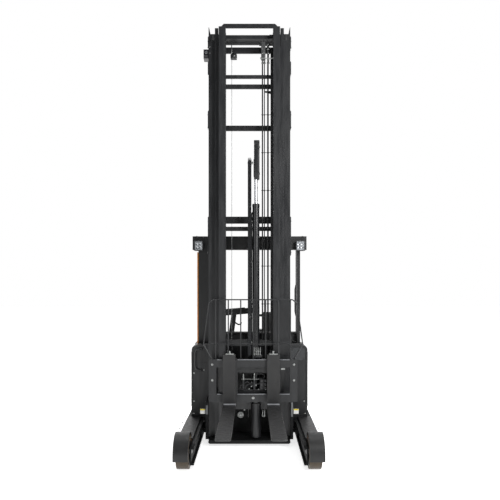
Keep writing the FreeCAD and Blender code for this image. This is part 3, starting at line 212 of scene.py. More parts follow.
# Moulded plastic and rubber: no metal, even colour, a spark-eroded or cloth-like grain.
def mouldedPlastic(name, colour, shade, roughness, grainMm, relief, coat=0.0):
    material, tree, surface, place = startMaterial(name, roughness, 0.0, {"Coat Weight": coat})
    base = mottle(tree, place, (colour, shade), 120, 3)
    grain = addNode(tree, "ShaderNodeTexVoronoi", {"feature": "F1"}, {"Vector": place,
        "Scale": 1000 / grainMm}).outputs["Distance"]
    height = bump(tree, relief, 0.15, grain)
    dress(tree, surface, base, spread(tree, grain, 0, 0.6, roughness - 0.06, roughness + 0.08), height)
    return material


coverPlastic = mouldedPlastic("grainedCoverAbs", "#1f2022", "#242527", 0.5, 2.4, 0.5)
gripPlastic = mouldedPlastic("softTouchGripTpe", "#1c1d1e", "#212223", 0.6, 1.8, 0.35)
paleCover = mouldedPlastic("greyServiceCoverAbs", "#77797b", "#6d6f71", 0.45, 2.6, 0.35)
serviceGrey = mouldedPlastic("greyServiceCoverPp", "#3c3e40", "#343638", 0.4, 2.6, 0.35)
sensorPlastic = mouldedPlastic("tintedSensorWindow", "#15111c", "#110e17", 0.16, 6, 0.05, 0.5)
hoseRubber = mouldedPlastic("wrappedHoseRubber", "#18191a", "#1f2021", 0.55, 2.0, 0.6)
plateWhite = mouldedPlastic("whitePlateVinyl", "#f2f2ef", "#ebebe7", 0.35, 3, 0.05)
plateYellow = mouldedPlastic("yellowPlateVinyl", "#e9d51c", "#dfca18", 0.35, 3, 0.05)
redLens = mouldedPlastic("redLampAcrylic", "#8e1512", "#7c1110", 0.12, 5, 0.4, 0.6)
lampShell = mouldedPlastic("lampHousing", "#3a3b3d", "#343537", 0.4, 3, 0.3)


# Woven seat cloth: matt polyester with a plain weave; threads drawn 5 mm apart so that the weave shows.
def wovenCloth(name, colour, shade, threadMm):
    material, tree, surface, place = startMaterial(name, 0.85, 0.0, {"Sheen Weight": 0.25,
        "Sheen Roughness": 0.4})
    waves = [addNode(tree, "ShaderNodeTexWave", {"wave_type": "BANDS", "bands_direction": axis},
        {"Vector": place, "Scale": 314 / threadMm, "Distortion": 0.3}).outputs["Fac"] for axis in "XYZ"]
    over = calculate(tree, "MULTIPLY", waves[0], waves[1])
    over = calculate(tree, "ADD", over, calculate(tree, "MULTIPLY", waves[1], waves[2]))
    over = calculate(tree, "ADD", over, calculate(tree, "MULTIPLY", waves[2], waves[0]))
    tone = calculate(tree, "MULTIPLY", over, spread(tree, noise(tree, place, 90, 4), 0.3, 0.7, 0.25, 0.6))
    relief = bump(tree, 0.7, 0.5, over)
    tree.links.new(blendColour(tree, tone, toLinear(colour), toLinear(shade)), surface.inputs["Base Color"])
    tree.links.new(relief, surface.inputs["Normal"])
    return material


seatCloth = wovenCloth("wovenSeatPolyester", "#202124", "#3a3c41", 5.0)

finishes = {"mast_paint": mastPaint, "carriage_paint": carriagePaint, "chassis_paint": chassisPaint,
    "fork_paint": forkPaint, "side_paint": sidePaint, "guard_paint": guardPaint, "wheel_tread": wheelTread,
    "drive_tread": wheelTread, "hub_metal": hubIron, "rod_chrome": rodChrome, "cylinder_paint": cylinderPaint,
    "chain_steel": chainSteel, "pin_steel": pinSteel, "hose_rubber": hoseRubber, "motor_metal": motorIron,
    "cover_plastic": coverPlastic, "grip_plastic": gripPlastic, "seat_cloth": seatCloth,
    "lamp_shell": lampShell, "sensor_plastic": sensorPlastic}
ownFinish = {"reach_legs": legPaint, "load_guards": wheelGuardPaint, "chassis_frame": legPaint,
    "reach_carriage": shadeDarkenedReachPaint, "battery_wall": bulkheadPaint, "drive_unit": motorIron,
    "rear_body": bodyPaint}
for part in frame["record"]["subparts"]:
    mesh = frame["nodes"][part["node"]].data
    mesh.materials.clear()
    mesh.materials.append(ownFinish.get(part["node"], finishes[part["material_slot"]]))
print("finishes on", len(frame["nodes"]), "nodes")


# Making pieces.
upward, toFront, toRear, toRight = (0, 0, 1), (0, -1, 0), (0, 1, 0), (1, 0, 0)


def link(name, mesh):
    piece = bpy.data.objects.new(name, mesh)
    bpy.context.scene.collection.objects.link(piece)
    return piece


def box(node):
    return [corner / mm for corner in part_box(node)]


def newShapes(count):
    return [bmesh.new() for _ in range(count)]


def toMesh(name, shape, unit=mm):
    bmesh.ops.recalc_face_normals(shape, faces=shape.faces)
    bmesh.ops.scale(shape, vec=(unit, unit, unit), verts=shape.verts)
    mesh = bpy.data.meshes.new(name)
    shape.to_mesh(mesh)
    shape.free()
    return mesh


def settle(name, mesh, material, body, smooth=35):
    mesh.materials.clear()
    mesh.materials.append(material)
    mesh.shade_smooth()
    mesh.set_sharp_from_angle(angle=math.radians(smooth))
    piece = link(name, mesh)
    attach(piece, body)
    return piece


def closePiece(name, shape, material, body="chassis", slot=None, smooth=35):
    return settle(name, toMesh(name, shape), material, body, smooth)


def turnTo(along):
    return Vector(along).to_track_quat("Z", "Y").to_matrix().to_4x4()


def addBlock(shape, low, high, soft=0.0, steps=2, turn=None):
    low, high = Vector(low), Vector(high)
    size = high - low
    made = bmesh.ops.create_cube(shape, size=1)["verts"]
    for vert in made:
        vert.co = Vector((vert.co.x * size.x, vert.co.y * size.y, vert.co.z * size.z))
    if soft:
        edges = list(dict.fromkeys(edge for vert in made for edge in vert.link_edges))
        fresh = bmesh.ops.bevel(shape, geom=edges, offset=soft, segments=steps, profile=0.5, affect="EDGES",
            clamp_overlap=True)["faces"]
        made = {v for f in fresh for v in f.verts} | {v for v in made if v.is_valid}
    for vert in made:
        vert.co = (turn @ vert.co if turn else vert.co) + (low + high) / 2


def ringOf(shape, steps, place):
    return [shape.verts.new(place(2 * math.pi * k / steps)) for k in range(steps)]


def bridge(shape, first, second):
    count = len(first)
    return [shape.faces.new((first[k], first[(k + 1) % count], second[(k + 1) % count], second[k]))
            for k in range(count)]


# Rings round an axis, one for each (reach, radius) of the profile; a radius of 0 gives a single point.
def revolve(shape, profile, centre, along, steps):
    turn = Matrix.Translation(Vector(centre)) @ turnTo(along)
    return [ringOf(shape, steps if radius else 1,
                   lambda a: turn @ Vector((radius * math.cos(a), radius * math.sin(a), reach)))
            for reach, radius in profile]


def addLathe(shape, profile, centre, along, steps=20):
    rings = revolve(shape, profile, centre, along, steps)
    for first, second in zip(rings, rings[1:]):
        for k in range(steps):
            corners = [first[k % len(first)], first[(k + 1) % len(first)], second[(k + 1) % len(second)],
                second[k % len(second)]]
            corners = [c for i, c in enumerate(corners) if c not in corners[:i]]
            if len(corners) > 2:
                shape.faces.new(corners)
    for ring in (rings[0], rings[-1]):
        if len(ring) > 1:
            shape.faces.new(ring)


def addRing(shape, profile, centre, along, steps=20):
    rings = revolve(shape, profile, centre, along, steps)
    for first, second in zip(rings, rings[1:] + rings[:1]):
        bridge(shape, first, second)


def addTube(shape, points, radius, sides=12, closed=False):
    points = [Vector(p) for p in points]
    count = len(points)
    tangents = []
    for i in range(count):
        before = points[(i - 1) % count] if closed or i else points[i]
        after = points[(i + 1) % count] if closed or i < count - 1 else points[i]
        tangents.append((after - before).normalized())
    side = tangents[0].orthogonal().normalized()
    rings = []
    for point, tangent in zip(points, tangents):
        side = (side - tangent * side.dot(tangent)).normalized()
        other = tangent.cross(side)
        rings.append(ringOf(shape, sides,
            lambda a: point + radius * (math.cos(a) * side + math.sin(a) * other)))
    for first, second in zip(rings, rings[1:]):
        bridge(shape, first, second)
    if closed:
        bridge(shape, rings[-1], rings[0])
    else:
        shape.faces.new(rings[0])
        shape.faces.new(rings[-1])


def addPlate(shape, outline, start, thickness, along="y", soft=0.0):
    def place(a, b, c):
        return Vector({"x": (c, a, b), "y": (a, c, b), "z": (a, b, c)}[along])

    near = [shape.verts.new(place(a, b, start)) for a, b in outline]
    far = [shape.verts.new(place(a, b, start + thickness)) for a, b in outline]
    faces = [shape.faces.new(near), shape.faces.new(far)] + bridge(shape, near, far)
    if soft:
        edges = list(dict.fromkeys(e for f in faces[:2] for e in f.edges))
        bmesh.ops.recalc_face_normals(shape, faces=faces)
        bmesh.ops.bevel(shape, geom=edges, offset=soft, segments=1, profile=0.5, affect="EDGES",
            clamp_overlap=True)


def roundedOutline(low, high, radius, steps=5):
    (x0, z0), (x1, z1) = low, high
    outline = []
    for cx, cz, start in ((x1 - radius, z1 - radius, 0), (x0 + radius, z1 - radius, 90),
            (x0 + radius, z0 + radius, 180), (x1 - radius, z0 + radius, 270)):
        for k in range(steps + 1):
            a = math.radians(start + 90 * k / steps)
            outline.append((cx + radius * math.cos(a), cz + radius * math.sin(a)))
    return outline


def closeAll(body, *pieces):
    for name, shape, material, *slot in pieces:
        closePiece(name, shape, material, body, *slot)


def addPanel(shape, low, high, radius, start, thickness, along="y", soft=0.0):
    addPlate(shape, roundedOutline(low, high, radius), start, thickness, along, soft)


# Geometry Nodes: one tree sets hexagon bolts on points, one repeats a part along a line.
def startTree(name, sockets):
    tree = bpy.data.node_groups.new(name, "GeometryNodeTree")
    tree.interface.new_socket("Geometry", in_out="INPUT", socket_type="NodeSocketGeometry")
    for label, kind in sockets:
        tree.interface.new_socket(label, in_out="INPUT", socket_type="NodeSocket" + kind)
    tree.interface.new_socket("Geometry", in_out="OUTPUT", socket_type="NodeSocketGeometry")
    return tree, addNode(tree, "NodeGroupInput").outputs


def closeTree(tree, geometry, finish):
    whole = addNode(tree, "GeometryNodeRealizeInstances", None, {0: geometry}).outputs[0]
    dressed = addNode(tree, "GeometryNodeSetMaterial", None, {"Geometry": whole,
        "Material": finish}).outputs[0]
    addNode(tree, "NodeGroupOutput", None, {0: dressed})
    return tree


def scaled(tree, value, factor):
    return addNode(tree, "ShaderNodeMath", {"operation": "MULTIPLY"}, {0: value, 1: factor}).outputs[0]


def makeBoltTree():
    tree, given = startTree("hexBolts", [("Head radius", "Float"), ("Head height", "Float"),
        ("Finish", "Material")])
    radius, height = given["Head radius"], given["Head height"]
    parts = []
    for sides, wide, narrow, start, tall in ((20, 1.25, 1.2, 0.0, 0.22), (6, 1.0, 1.0, 0.2, 0.62),
            (6, 1.0, 0.82, 0.8, 0.2)):
        cone = addNode(tree, "GeometryNodeMeshCone", None, {"Vertices": sides,
            "Radius Top": scaled(tree, radius, narrow), "Radius Bottom": scaled(tree, radius, wide),
            "Depth": scaled(tree, height, tall)}).outputs["Mesh"]
        lift = addNode(tree, "ShaderNodeCombineXYZ", None, {2: scaled(tree, height, start)}).outputs[0]
        parts.append(addNode(tree, "GeometryNodeTransform", None, {"Geometry": cone,
            "Translation": lift}).outputs[0])
    joined = addNode(tree, "GeometryNodeJoinGeometry")
    for part in parts:
        tree.links.new(part, joined.inputs[0])
    aim = addNode(tree, "GeometryNodeInputNamedAttribute", {"data_type": "FLOAT_VECTOR"},
        {"Name": "aim"}).outputs[0]
    grow = addNode(tree, "GeometryNodeInputNamedAttribute", {"data_type": "FLOAT"},
        {"Name": "grow"}).outputs[0]
    turn = addNode(tree, "FunctionNodeAlignRotationToVector", {"axis": "Z"}, {"Vector": aim}).outputs[0]
    placed = addNode(tree, "GeometryNodeInstanceOnPoints", None, {"Points": given["Geometry"],
        "Instance": joined.outputs[0], "Rotation": turn, "Scale": grow}).outputs[0]
    return closeTree(tree, placed, given["Finish"])


def makeRowTree():
    tree, given = startTree("rowOfParts", [("Part", "Object"), ("Count", "Int"), ("Step", "Vector"),
        ("Start", "Vector"), ("Finish", "Material")])
    line = addNode(tree, "GeometryNodeMeshLine", {"mode": "OFFSET"}, {"Count": given["Count"],
        "Start Location": given["Start"], "Offset": given["Step"]}).outputs[0]
    part = addNode(tree, "GeometryNodeObjectInfo", None, {"Object": given["Part"]}).outputs["Geometry"]
    placed = addNode(tree, "GeometryNodeInstanceOnPoints", None, {"Points": line,
        "Instance": part}).outputs[0]
    return closeTree(tree, placed, given["Finish"])


boltTree = makeBoltTree()
rowTree = makeRowTree()


def grown(source, tree, sizes):
    modifier = source.modifiers.new(tree.name, "NODES")
    modifier.node_group = tree
    for item in tree.interface.items_tree:
        if item.item_type == "SOCKET" and item.in_out == "INPUT" and item.name in sizes:
            modifier[item.identifier] = sizes[item.name]
    bpy.context.view_layer.update()
    mesh = bpy.data.meshes.new_from_object(source.evaluated_get(bpy.context.evaluated_depsgraph_get()))
    source.modifiers.remove(modifier)
    bpy.data.objects.remove(source)
    return mesh


def placeBolts(name, spots, body, head=10, height=7):
    mesh = bpy.data.meshes.new(name + "Spots")
    mesh.from_pydata([Vector(spot[0]) * mm for spot in spots], [], [])
    mesh.attributes.new("aim", "FLOAT_VECTOR", "POINT")
    mesh.attributes.new("grow", "FLOAT", "POINT")
    for i, spot in enumerate(spots):
        mesh.attributes["aim"].data[i].vector = spot[1]
        mesh.attributes["grow"].data[i].value = spot[2] if len(spot) > 2 else 1.0
    made = grown(link(name + "Spots", mesh), boltTree, {"Head radius": head * mm, "Head height": height * mm,
        "Finish": pinSteel})
    return settle(name, made, pinSteel, body)


def placeRow(name, shape, count, step, start, body, material):
    part = link(name + "Part", toMesh(name + "Part", shape))
    holder = link(name + "Line", bpy.data.meshes.new(name + "Line"))
    made = grown(holder, rowTree, {"Part": part, "Count": count, "Step": Vector(step) * mm,
        "Start": Vector(start) * mm, "Finish": material})
    bpy.data.objects.remove(part)
    return settle(name, made, material, body)


# Free-lift chain, sheave and ram.
leafChain = {"pitch": 19.05, "plateHigh": 13.0, "plateThick": 3.3, "plates": 8, "pinRadius": 3.2,
    "middleX": 2, "frontY": 41, "backY": 125}


def leafLink(shrink=1.0):
    shape = bmesh.new()
    pitch, high = leafChain["pitch"], leafChain["plateHigh"] * shrink
    thick = leafChain["plateThick"] * shrink
    for i in range(leafChain["plates"]):
        x = (i - leafChain["plates"] / 2 + 0.08) * leafChain["plateThick"] * 1.22
        shift = 0 if i % 2 else pitch / 2
        outline = []
        for end in (-1, 1):
            for a in (-68, -25, 25, 68):
                angle = math.radians(a)
                outline.append((end * math.sin(angle) * high / 2,
                    shift + end * (pitch / 2 + math.cos(angle) * high / 2)))
        addPlate(shape, outline, x, thick, "x")
    for z in (-pitch / 2, 0):
        addLathe(shape, [(-18, 2.2), (-17, leafChain["pinRadius"]), (17, leafChain["pinRadius"]), (18, 2.2)],
            (0, 0, z), toRight, 8)
    return shape


def chainStrand(name, y, low, high, body, shrink=1.0):
    count = max(1, int((high - low) / leafChain["pitch"]))
    start = (leafChain["middleX"], y, low + leafChain["pitch"] / 2)
    return placeRow(name, leafLink(shrink), count, (0, 0, leafChain["pitch"]), start, body, chainSteel)


sheaveLow, sheaveHigh = box("chain_sheave")
sheaveMid = (sheaveLow + sheaveHigh) / 2
anchorLow = box("chain_front")[0].z
backLow = box("chain_back")[0].z
freeJoint = next(j for j in frame["joints"] if j["name"] == "free_lift")
drop, climb = -freeJoint["range_m"][0] / 2 / mm, freeJoint["range_m"][1] / 2 / mm
frontStrand = chainStrand("chainFront", leafChain["frontY"], anchorLow, sheaveMid.z, "lift_carriage")
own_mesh(frontStrand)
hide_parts("chain_front")
chainStrand("chainFrontSpare", leafChain["frontY"], sheaveMid.z - 2 * drop - 60, sheaveMid.z, "free_lift_ram",
    0.9)
backStrand = chainStrand("chainBack", leafChain["backY"], backLow + drop + 20, sheaveMid.z, "free_lift_ram")
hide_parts("chain_back")
chainStrand("chainBackFixed", leafChain["backY"], backLow, backLow + drop + climb + 60, "inner_stage", 0.9)


def makeSheave():
    shape = bmesh.new()
    half = (sheaveHigh.x - sheaveLow.x) / 2
    flange, groove = 37.5, 33
    profile = [(-half - 4, 14), (-half - 4, flange - 2), (-half - 2.5, flange), (-half - 1, flange),
        (-half, groove), (half, groove), (half + 1, flange), (half + 2.5, flange), (half + 4, flange - 2),
        (half + 4, 14), (half - 4, 13), (-half + 4, 13)]
    addRing(shape, profile, sheaveMid, toRight, 48)
    addLathe(shape, [(-half - 7, 0), (-half - 7, 11), (-half - 5, 13.5), (half + 20, 13.5), (half + 20, 0)],
        sheaveMid, toRight, 24)
    piece = closePiece("grooveSheave", shape, pinSteel, "free_lift_ram")
    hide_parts("chain_sheave")
    shape = bmesh.new()
    for k in range(7):
        angle = math.radians(180 * k / 6)
        for i in range(leafChain["plates"]):
            x = (i - leafChain["plates"] / 2 + 0.08) * leafChain["plateThick"] * 1.22 + leafChain["middleX"]
            middle = Vector((x + 1.1, sheaveMid.y - 42 * math.cos(angle + (0.11 if i % 2 else -0.11)),
                sheaveMid.z + 42 * math.sin(angle + (0.11 if i % 2 else -0.11))))
            addBlock(shape, middle - Vector((1.1, 6, 13)), middle + Vector((1.1, 6, 13)),
                turn=Matrix.Rotation(-angle, 4, "X"))
    closePiece("chainOverSheave", shape, chainSteel, "free_lift_ram")


makeSheave()


# Return pipe strapped beside the free-lift cylinder.
def makeReturnPipe():
    low, high = box("free_cylinder")
    pipe, straps = newShapes(2)
    x, y = low.x - 7.5, (low.y + high.y) / 2 + 12
    addTube(pipe, [(x, y, 455), (x, y, high.z - 95), (x + 4, y, high.z - 78), (x + 12, y, high.z - 66)], 6.5,
        12)
    for k in range(5):
        addBlock(straps, (x - 8, y - 9, 600 + 400 * k), (x + 10, y + 9, 618 + 400 * k), 3)
    closeAll("inner_stage", ("freeLiftPipe", pipe, cylinderPaint), ("freeLiftPipeStraps", straps, pinSteel))


makeReturnPipe()
print("chain done")


# Seat: two sewn cushions, blown up by cloth pressure from a smaller block.
seat = {"pressure": 4.0, "frames": 20, "cap": 24 * mm, "inset": 16 * mm, "corner": 45 * mm, "voxel": 7 * mm,
    "seamDeep": 7 * mm, "seamWide": 9 * mm, "piping": 3.6}


def puff(name, shape, flatAxis, flatPlace, voxel):
    start = link(name + "Start", toMesh(name + "Start", shape, 1.0))
    remesh = start.modifiers.new("remesh", "REMESH")
    remesh.mode, remesh.voxel_size = "VOXEL", voxel
    bpy.context.view_layer.update()
    even = bpy.data.meshes.new_from_object(start.evaluated_get(bpy.context.evaluated_depsgraph_get()))
    bpy.data.objects.remove(start)
    pad = link(name, even)
    rest = [vert.co.copy() for vert in even.vertices]
    held = pad.vertex_groups.new(name="held")
    held.add([i for i, co in enumerate(rest) if abs(co[flatAxis] - flatPlace) < voxel * 1.1], 1.0,
        "REPLACE")
    cloth = pad.modifiers.new("cloth", "CLOTH")
    cloth.settings.use_pressure = True
    cloth.settings.uniform_pressure_force = seat["pressure"]
    cloth.settings.effector_weights.gravity = 0
    cloth.settings.vertex_group_mass = "held"
    cloth.point_cache.frame_start, cloth.point_cache.frame_end = 1, seat["frames"]
    for step in range(1, seat["frames"] + 1):
        bpy.context.scene.frame_set(step)
    blown = bpy.data.meshes.new_from_object(pad.evaluated_get(bpy.context.evaluated_depsgraph_get()))
    for vert, old, new in zip(even.vertices, rest, blown.vertices):
        move = new.co - old
        vert.co = old + move * min(1.0, seat["cap"] / max(move.length, 1e-6))
    pad.modifiers.remove(cloth)
    pad.vertex_groups.clear()
    bpy.data.meshes.remove(blown)
    bpy.context.scene.frame_set(1)
    smooth = pad.modifiers.new("fine", "SUBSURF")
    smooth.levels = smooth.render_levels = 1
    bpy.context.view_layer.update()
    fine = bpy.data.meshes.new_from_object(pad.evaluated_get(bpy.context.evaluated_depsgraph_get()))
    bpy.data.objects.remove(pad)
    return fine


def pressSeams(mesh, upAxis, upSign, lines):
    for vert in mesh.vertices:
        if vert.normal[upAxis] * upSign > 0.2:
            for axis, place, low, high in lines:
                other = 3 - upAxis - axis
                away = abs(vert.co[axis] - place)
                if away < seat["seamWide"] and low < vert.co[other] < high:
                    dip = seat["seamDeep"] * (1 - (away / seat["seamWide"]) ** 2) ** 2
                    vert.co[upAxis] -= upSign * dip


def finishPad(name, mesh, node, body):
    mesh.materials.clear()
    mesh.materials.append(seatCloth)
    mesh.shade_smooth()
    piece = link(name, mesh)
    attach(piece, body)
    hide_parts(node)
    return piece


def pipingRound(name, mesh, middle, upAxis, level, body):
    tree = BVHTree.FromPolygons([v.co for v in mesh.vertices], [p.vertices for p in mesh.polygons])
    first, second = [axis for axis in (0, 1, 2) if axis != upAxis]
    points = []
    for k in range(96):
        angle = 2 * math.pi * k / 96
        ray = Vector((0, 0, 0))
        ray[first], ray[second] = math.cos(angle), math.sin(angle)
        source = Vector(middle)
        source[upAxis] = level
        hit = tree.ray_cast(source + ray * 1.5, -ray)[0]
        points.append((hit + ray * 1.2 * mm) / mm)
    shape = bmesh.new()
    addTube(shape, points, seat["piping"], 8, closed=True)
    closePiece(name, shape, gripPlastic, body, "grip_plastic", 60)


def makeSeat():
    low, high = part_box("seat_cushion")
    shape = bmesh.new()
    inset = seat["inset"]
    addBlock(shape, low + Vector((inset * 0.3, inset, 0)), high - Vector((inset, inset, inset)),
        seat["corner"], 5)
    mesh = puff("seatCushion", shape, 2, low.z, seat["voxel"])
    for vert in mesh.vertices:
        vert.co.z = max(vert.co.z, low.z)
    side = 85 * mm
    pressSeams(mesh, 2, 1, [(1, low.y + side, low.x, high.x), (1, high.y - side, low.x, high.x),
        (0, low.x + 0.33 * (high.x - low.x), low.y + side, high.y - side),
        (0, low.x + 0.62 * (high.x - low.x), low.y + side, high.y - side)])
    pipingRound("seatCushionPiping", mesh, (low + high) / 2, 2, high.z - 42 * mm, "chassis")
    finishPad("seatCushionPad", mesh, "seat_cushion", "chassis")
    low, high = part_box("seat_rest")
    shape = bmesh.new()
    addBlock(shape, low + Vector((0, inset, inset * 0.4)), high - Vector((inset, inset, inset)),
        seat["corner"], 5)
    for vert in shape.verts:
        rise = (vert.co.z - low.z) / (high.z - low.z)
        vert.co.y += (0.963 - vert.co.y) * 0.16 * max(0.0, rise - 0.55) / 0.45     # narrower at the shoulders
    mesh = puff("seatRest", shape, 0, low.x, seat["voxel"] * 1.15)
    for vert in mesh.vertices:
        vert.co.x = max(vert.co.x, low.x)
    pressSeams(mesh, 0, 1, [(1, low.y + side, low.z, high.z), (1, high.y - side, low.z, high.z)] + [(2,
        low.z + share * (high.z - low.z), low.y + side, high.y - side) for share in (0.32, 0.5, 0.68, 0.84)])
    pipingRound("seatRestPiping", mesh, (low + high) / 2, 0, high.x - 45 * mm, "chassis")
    finishPad("seatRestPad", mesh, "seat_rest", "chassis")
    print("seat done")


makeSeat()


# Free-lift ram: chromed rod and forged head.
ram = {"rodRadius": 17, "headSoft": 6, "capHigh": 26}


def makeRam():
    low, high = box("free_ram")
    tubeLow, tubeHigh = box("free_cylinder")
    middle = (tubeLow + tubeHigh) / 2
    headFoot = 2618
    shape = bmesh.new()
    addLathe(shape, [(low.z, 0), (low.z, ram["rodRadius"]), (headFoot + 10, ram["rodRadius"]),
        (headFoot + 10, 0)], (middle.x, middle.y, 0), upward, 36)
    rod = closePiece("freeLiftRod", shape, rodChrome, "free_lift_ram")
    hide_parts("free_ram")
    shape = bmesh.new()
    addBlock(shape, (middle.x - 20, middle.y - 33, headFoot), (middle.x + 35, middle.y + 33, high.z),
        ram["headSoft"], 3)
    addBlock(shape, (middle.x - 24, middle.y - 22, headFoot + 30), (middle.x - 19, middle.y + 22,
        headFoot + 200), 1.5, 1)
    for z in (headFoot + 60, headFoot + 290, high.z - 40):
        addBlock(shape, (middle.x - 16, middle.y - 36, z), (middle.x + 31, middle.y - 32, z + 18), 1, 1)
    closePiece("freeLiftHead", shape, carriagePaint, "free_lift_ram")
    shape = bmesh.new()
    addRing(shape, [(0, 37), (ram["capHigh"], 37), (ram["capHigh"] + 4, 33),
        (ram["capHigh"] + 4, ram["rodRadius"] + 1), (0, ram["rodRadius"] + 1)],
        (middle.x, middle.y, tubeHigh.z - 18), upward, 36)
    for k in range(3):
        addRing(shape, [(-3, 36), (3, 36), (3, 34), (-3, 34)], (middle.x, middle.y, 700 + 550 * k), upward,
            36)
    closePiece("freeLiftGland", shape, cylinderPaint, "inner_stage")
    spots = [((middle.x + 35, middle.y + y, z), toRight) for z in (headFoot + 60, high.z - 60) for y in (-18,
        18)]
    placeBolts("freeLiftHeadBolts", spots, "free_lift_ram", 6.5, 5)


makeRam()


# Lamps on the overhead guard.
lampLook = {"ledRadius": 13}


def lampGlass():
    material, tree, surface, place = startMaterial("pressedLampGlass", 0.08, 0.0,
        {"Coat Weight": 0.6, "Emission Color": toLinear("#ffffff"), "Emission Strength": 0.04})
    cells = addNode(tree, "ShaderNodeTexVoronoi", {"feature": "F1"}, {"Vector": place,
        "Scale": 90}).outputs["Distance"]
    tree.links.new(blendColour(tree, spread(tree, cells, 0.0, 0.7), toLinear("#d6d9dc"), toLinear("#8e9499")),
        surface.inputs["Base Color"])
    relief = addNode(tree, "ShaderNodeBump", None, {"Strength": 0.6, "Distance": 1 * mm,
        "Height": cells}).outputs[0]
    tree.links.new(relief, surface.inputs["Normal"])
    return material


glassLamp = lampGlass()


def makeLamps():
    low, high = box("work_lamps")
    housings, glass, reflectors = newShapes(3)
    spots = []
    for side in (-1, 1):
        inner, outer = 493 * side, high.x * side
        x0, x1 = min(inner, outer), max(inner, outer)
        addPanel(housings, (x0, low.z), (x1, high.z), 10, low.y + 8, high.y - low.y - 26, "y", 2)
        ring = roundedOutline((x0, low.z), (x1, high.z), 10)
        hole = roundedOutline((x0 + 9, low.z + 9), (x1 - 9, high.z - 9), 7)
        fronts = [[housings.verts.new((a, y, b)) for a, b in line] for line,
            y in ((ring, low.y + 9), (ring, low.y), (hole, low.y), (hole, low.y + 9))]
        for first, second in zip(fronts, fronts[1:] + fronts[:1]):
            bridge(housings, first, second)
        for k in range(6):
            x = x0 + (k + 0.8) * (x1 - x0) / 6.6
            addBlock(housings, (x, high.y - 20, low.z + 10), (x + 4, high.y - 6, high.z - 10), 1, 1)
        addBlock(housings, (x0 + 30, high.y - 14, high.z - 40), (x1 - 30, high.y, high.z - 4), 3)
        addPanel(glass, (x0 + 8, low.z + 8), (x1 - 8, high.z - 8), 7, low.y + 3, 4, "y", 1.2)
        for i in (-1, 1):
            for j in (-1, 1):
                spots.append((((x0 + x1) / 2 + i * 18, low.y + 4, (low.z + high.z) / 2 + j * 17)))
    for x, y, z in spots:
        addLathe(reflectors, [(0, 0), (0, lampLook["ledRadius"]), (3, lampLook["ledRadius"] - 3), (2, 5),
            (4, 3), (4, 0)], (x, y, z), toFront)
    shell = closePiece("lampHousings", housings, lampShell)
    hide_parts("work_lamps")
    closeAll("chassis", ("lampLenses", glass, glassLamp, "lamp_shell"),
        ("lampReflectors", reflectors, rodChrome, "lamp_shell"))
    bolts = [((side * 541, high.y - 30, high.z), upward) for side in (-1, 1)]
    placeBolts("lampBolts", bolts, "chassis", 6, 5)


makeLamps()


# Fork carriage: locking pins, painted highlights on the bar edges and fork heels, painted shadow under the top
# bar, cheek bolts.
forkLook = {"pinRadius": 8.5, "base": 43, "left": 230, "right": -187}


def makeForkFittings():
    low, high = box("forks")
    barLow, barHigh = box("fork_carriage")
    bright, worn, heelHighlight = newShapes(3)
    top = high.z
    for x in (forkLook["left"], forkLook["right"]):
        y = -88
        addPanel(bright, (x - forkLook["base"], y - 19), (x + forkLook["base"], y + 19), 9, top - 1, 11, "z",
            2)
        addLathe(bright, [(0, 0), (0, forkLook["pinRadius"] + 3), (6, forkLook["pinRadius"] + 3),
            (8, forkLook["pinRadius"]), (24, forkLook["pinRadius"]), (27, forkLook["pinRadius"] - 3),
            (27, 0)], (x, y, top + 9), upward)
        # bright bar across each fork heel: painted highlight of the curved heel catching the light
        addTube(heelHighlight, [(x - 59, low.y + 1146, 438.5), (x + 59, low.y + 1146, 438.5)], 8, 12)
    closeAll("fork_carriage", ("forkLockPins", bright, pinSteel), ("forkHeelWelds", heelHighlight, highlightSteelPaint,
        "fork_paint"))
    face = barLow.y
    # bright strips along the top edges of the upper and lower bars, broken where the forks stand: painted
    # highlights
    for z, runs in ((barHigh.z - 2, ((-310, -265), (-115, 165), (292, 388))),
            (527.5, ((-310, -265), (-115, 165), (292, 388)))):
        for x0, x1 in runs:
            addBlock(worn, (x0, face - 2, z - 4), (x1, face + 6, z + 4), 2, 2)
    closePiece("carriageWornEdges", worn, highlightSteelPaint, "fork_carriage", "carriage_paint")
    # dark strip along the foot of the top bar: painted shadow of the recess behind the bar
    groove = bmesh.new()
    addBlock(groove, (-89, face - 1.5, 778), (152, face + 1, 792), 0.6, 1)
    closePiece("carriageBufferStrip", groove, hoseRubber, "fork_carriage")
    slotPlate = bmesh.new()
    addPanel(slotPlate, (304, 763), (343, 777), 6.5, face - 2, 3, "y", 0.8)
    closePiece("carriageKeyPlate", slotPlate, pinSteel, "fork_carriage")
    spots = [((x, face, z), toFront) for x in (-356, 429) for z in (661.5, 812)] + [((37, face, 492), toFront,
        1.2)]
    placeBolts("cheekBolts", spots, "fork_carriage", 9, 6)
    notches = bmesh.new()
    for k in range(7):                      # fork stops cast along the top bar
        x = barLow.x + 90 + k * 105
        addBlock(notches, (x, face - 1, barHigh.z - 10), (x + 14, face + 20, barHigh.z + 1), 1, 1)
    closePiece("forkStops", notches, carriagePaint, "fork_carriage")


makeForkFittings()


# Hydraulic valve, pins and pipe fittings carried between the lift carriage plates.
def addFitting(shape, place, along, long, radius):
    nut = radius * 1.55
    addLathe(shape, [(0, 0), (0, nut), (long * 0.22, nut), (long * 0.24, radius), (long * 0.7, radius),
        (long * 0.72, nut * 0.9), (long * 0.94, nut * 0.9), (long, radius * 0.8), (long, 0)], place, along, 6)


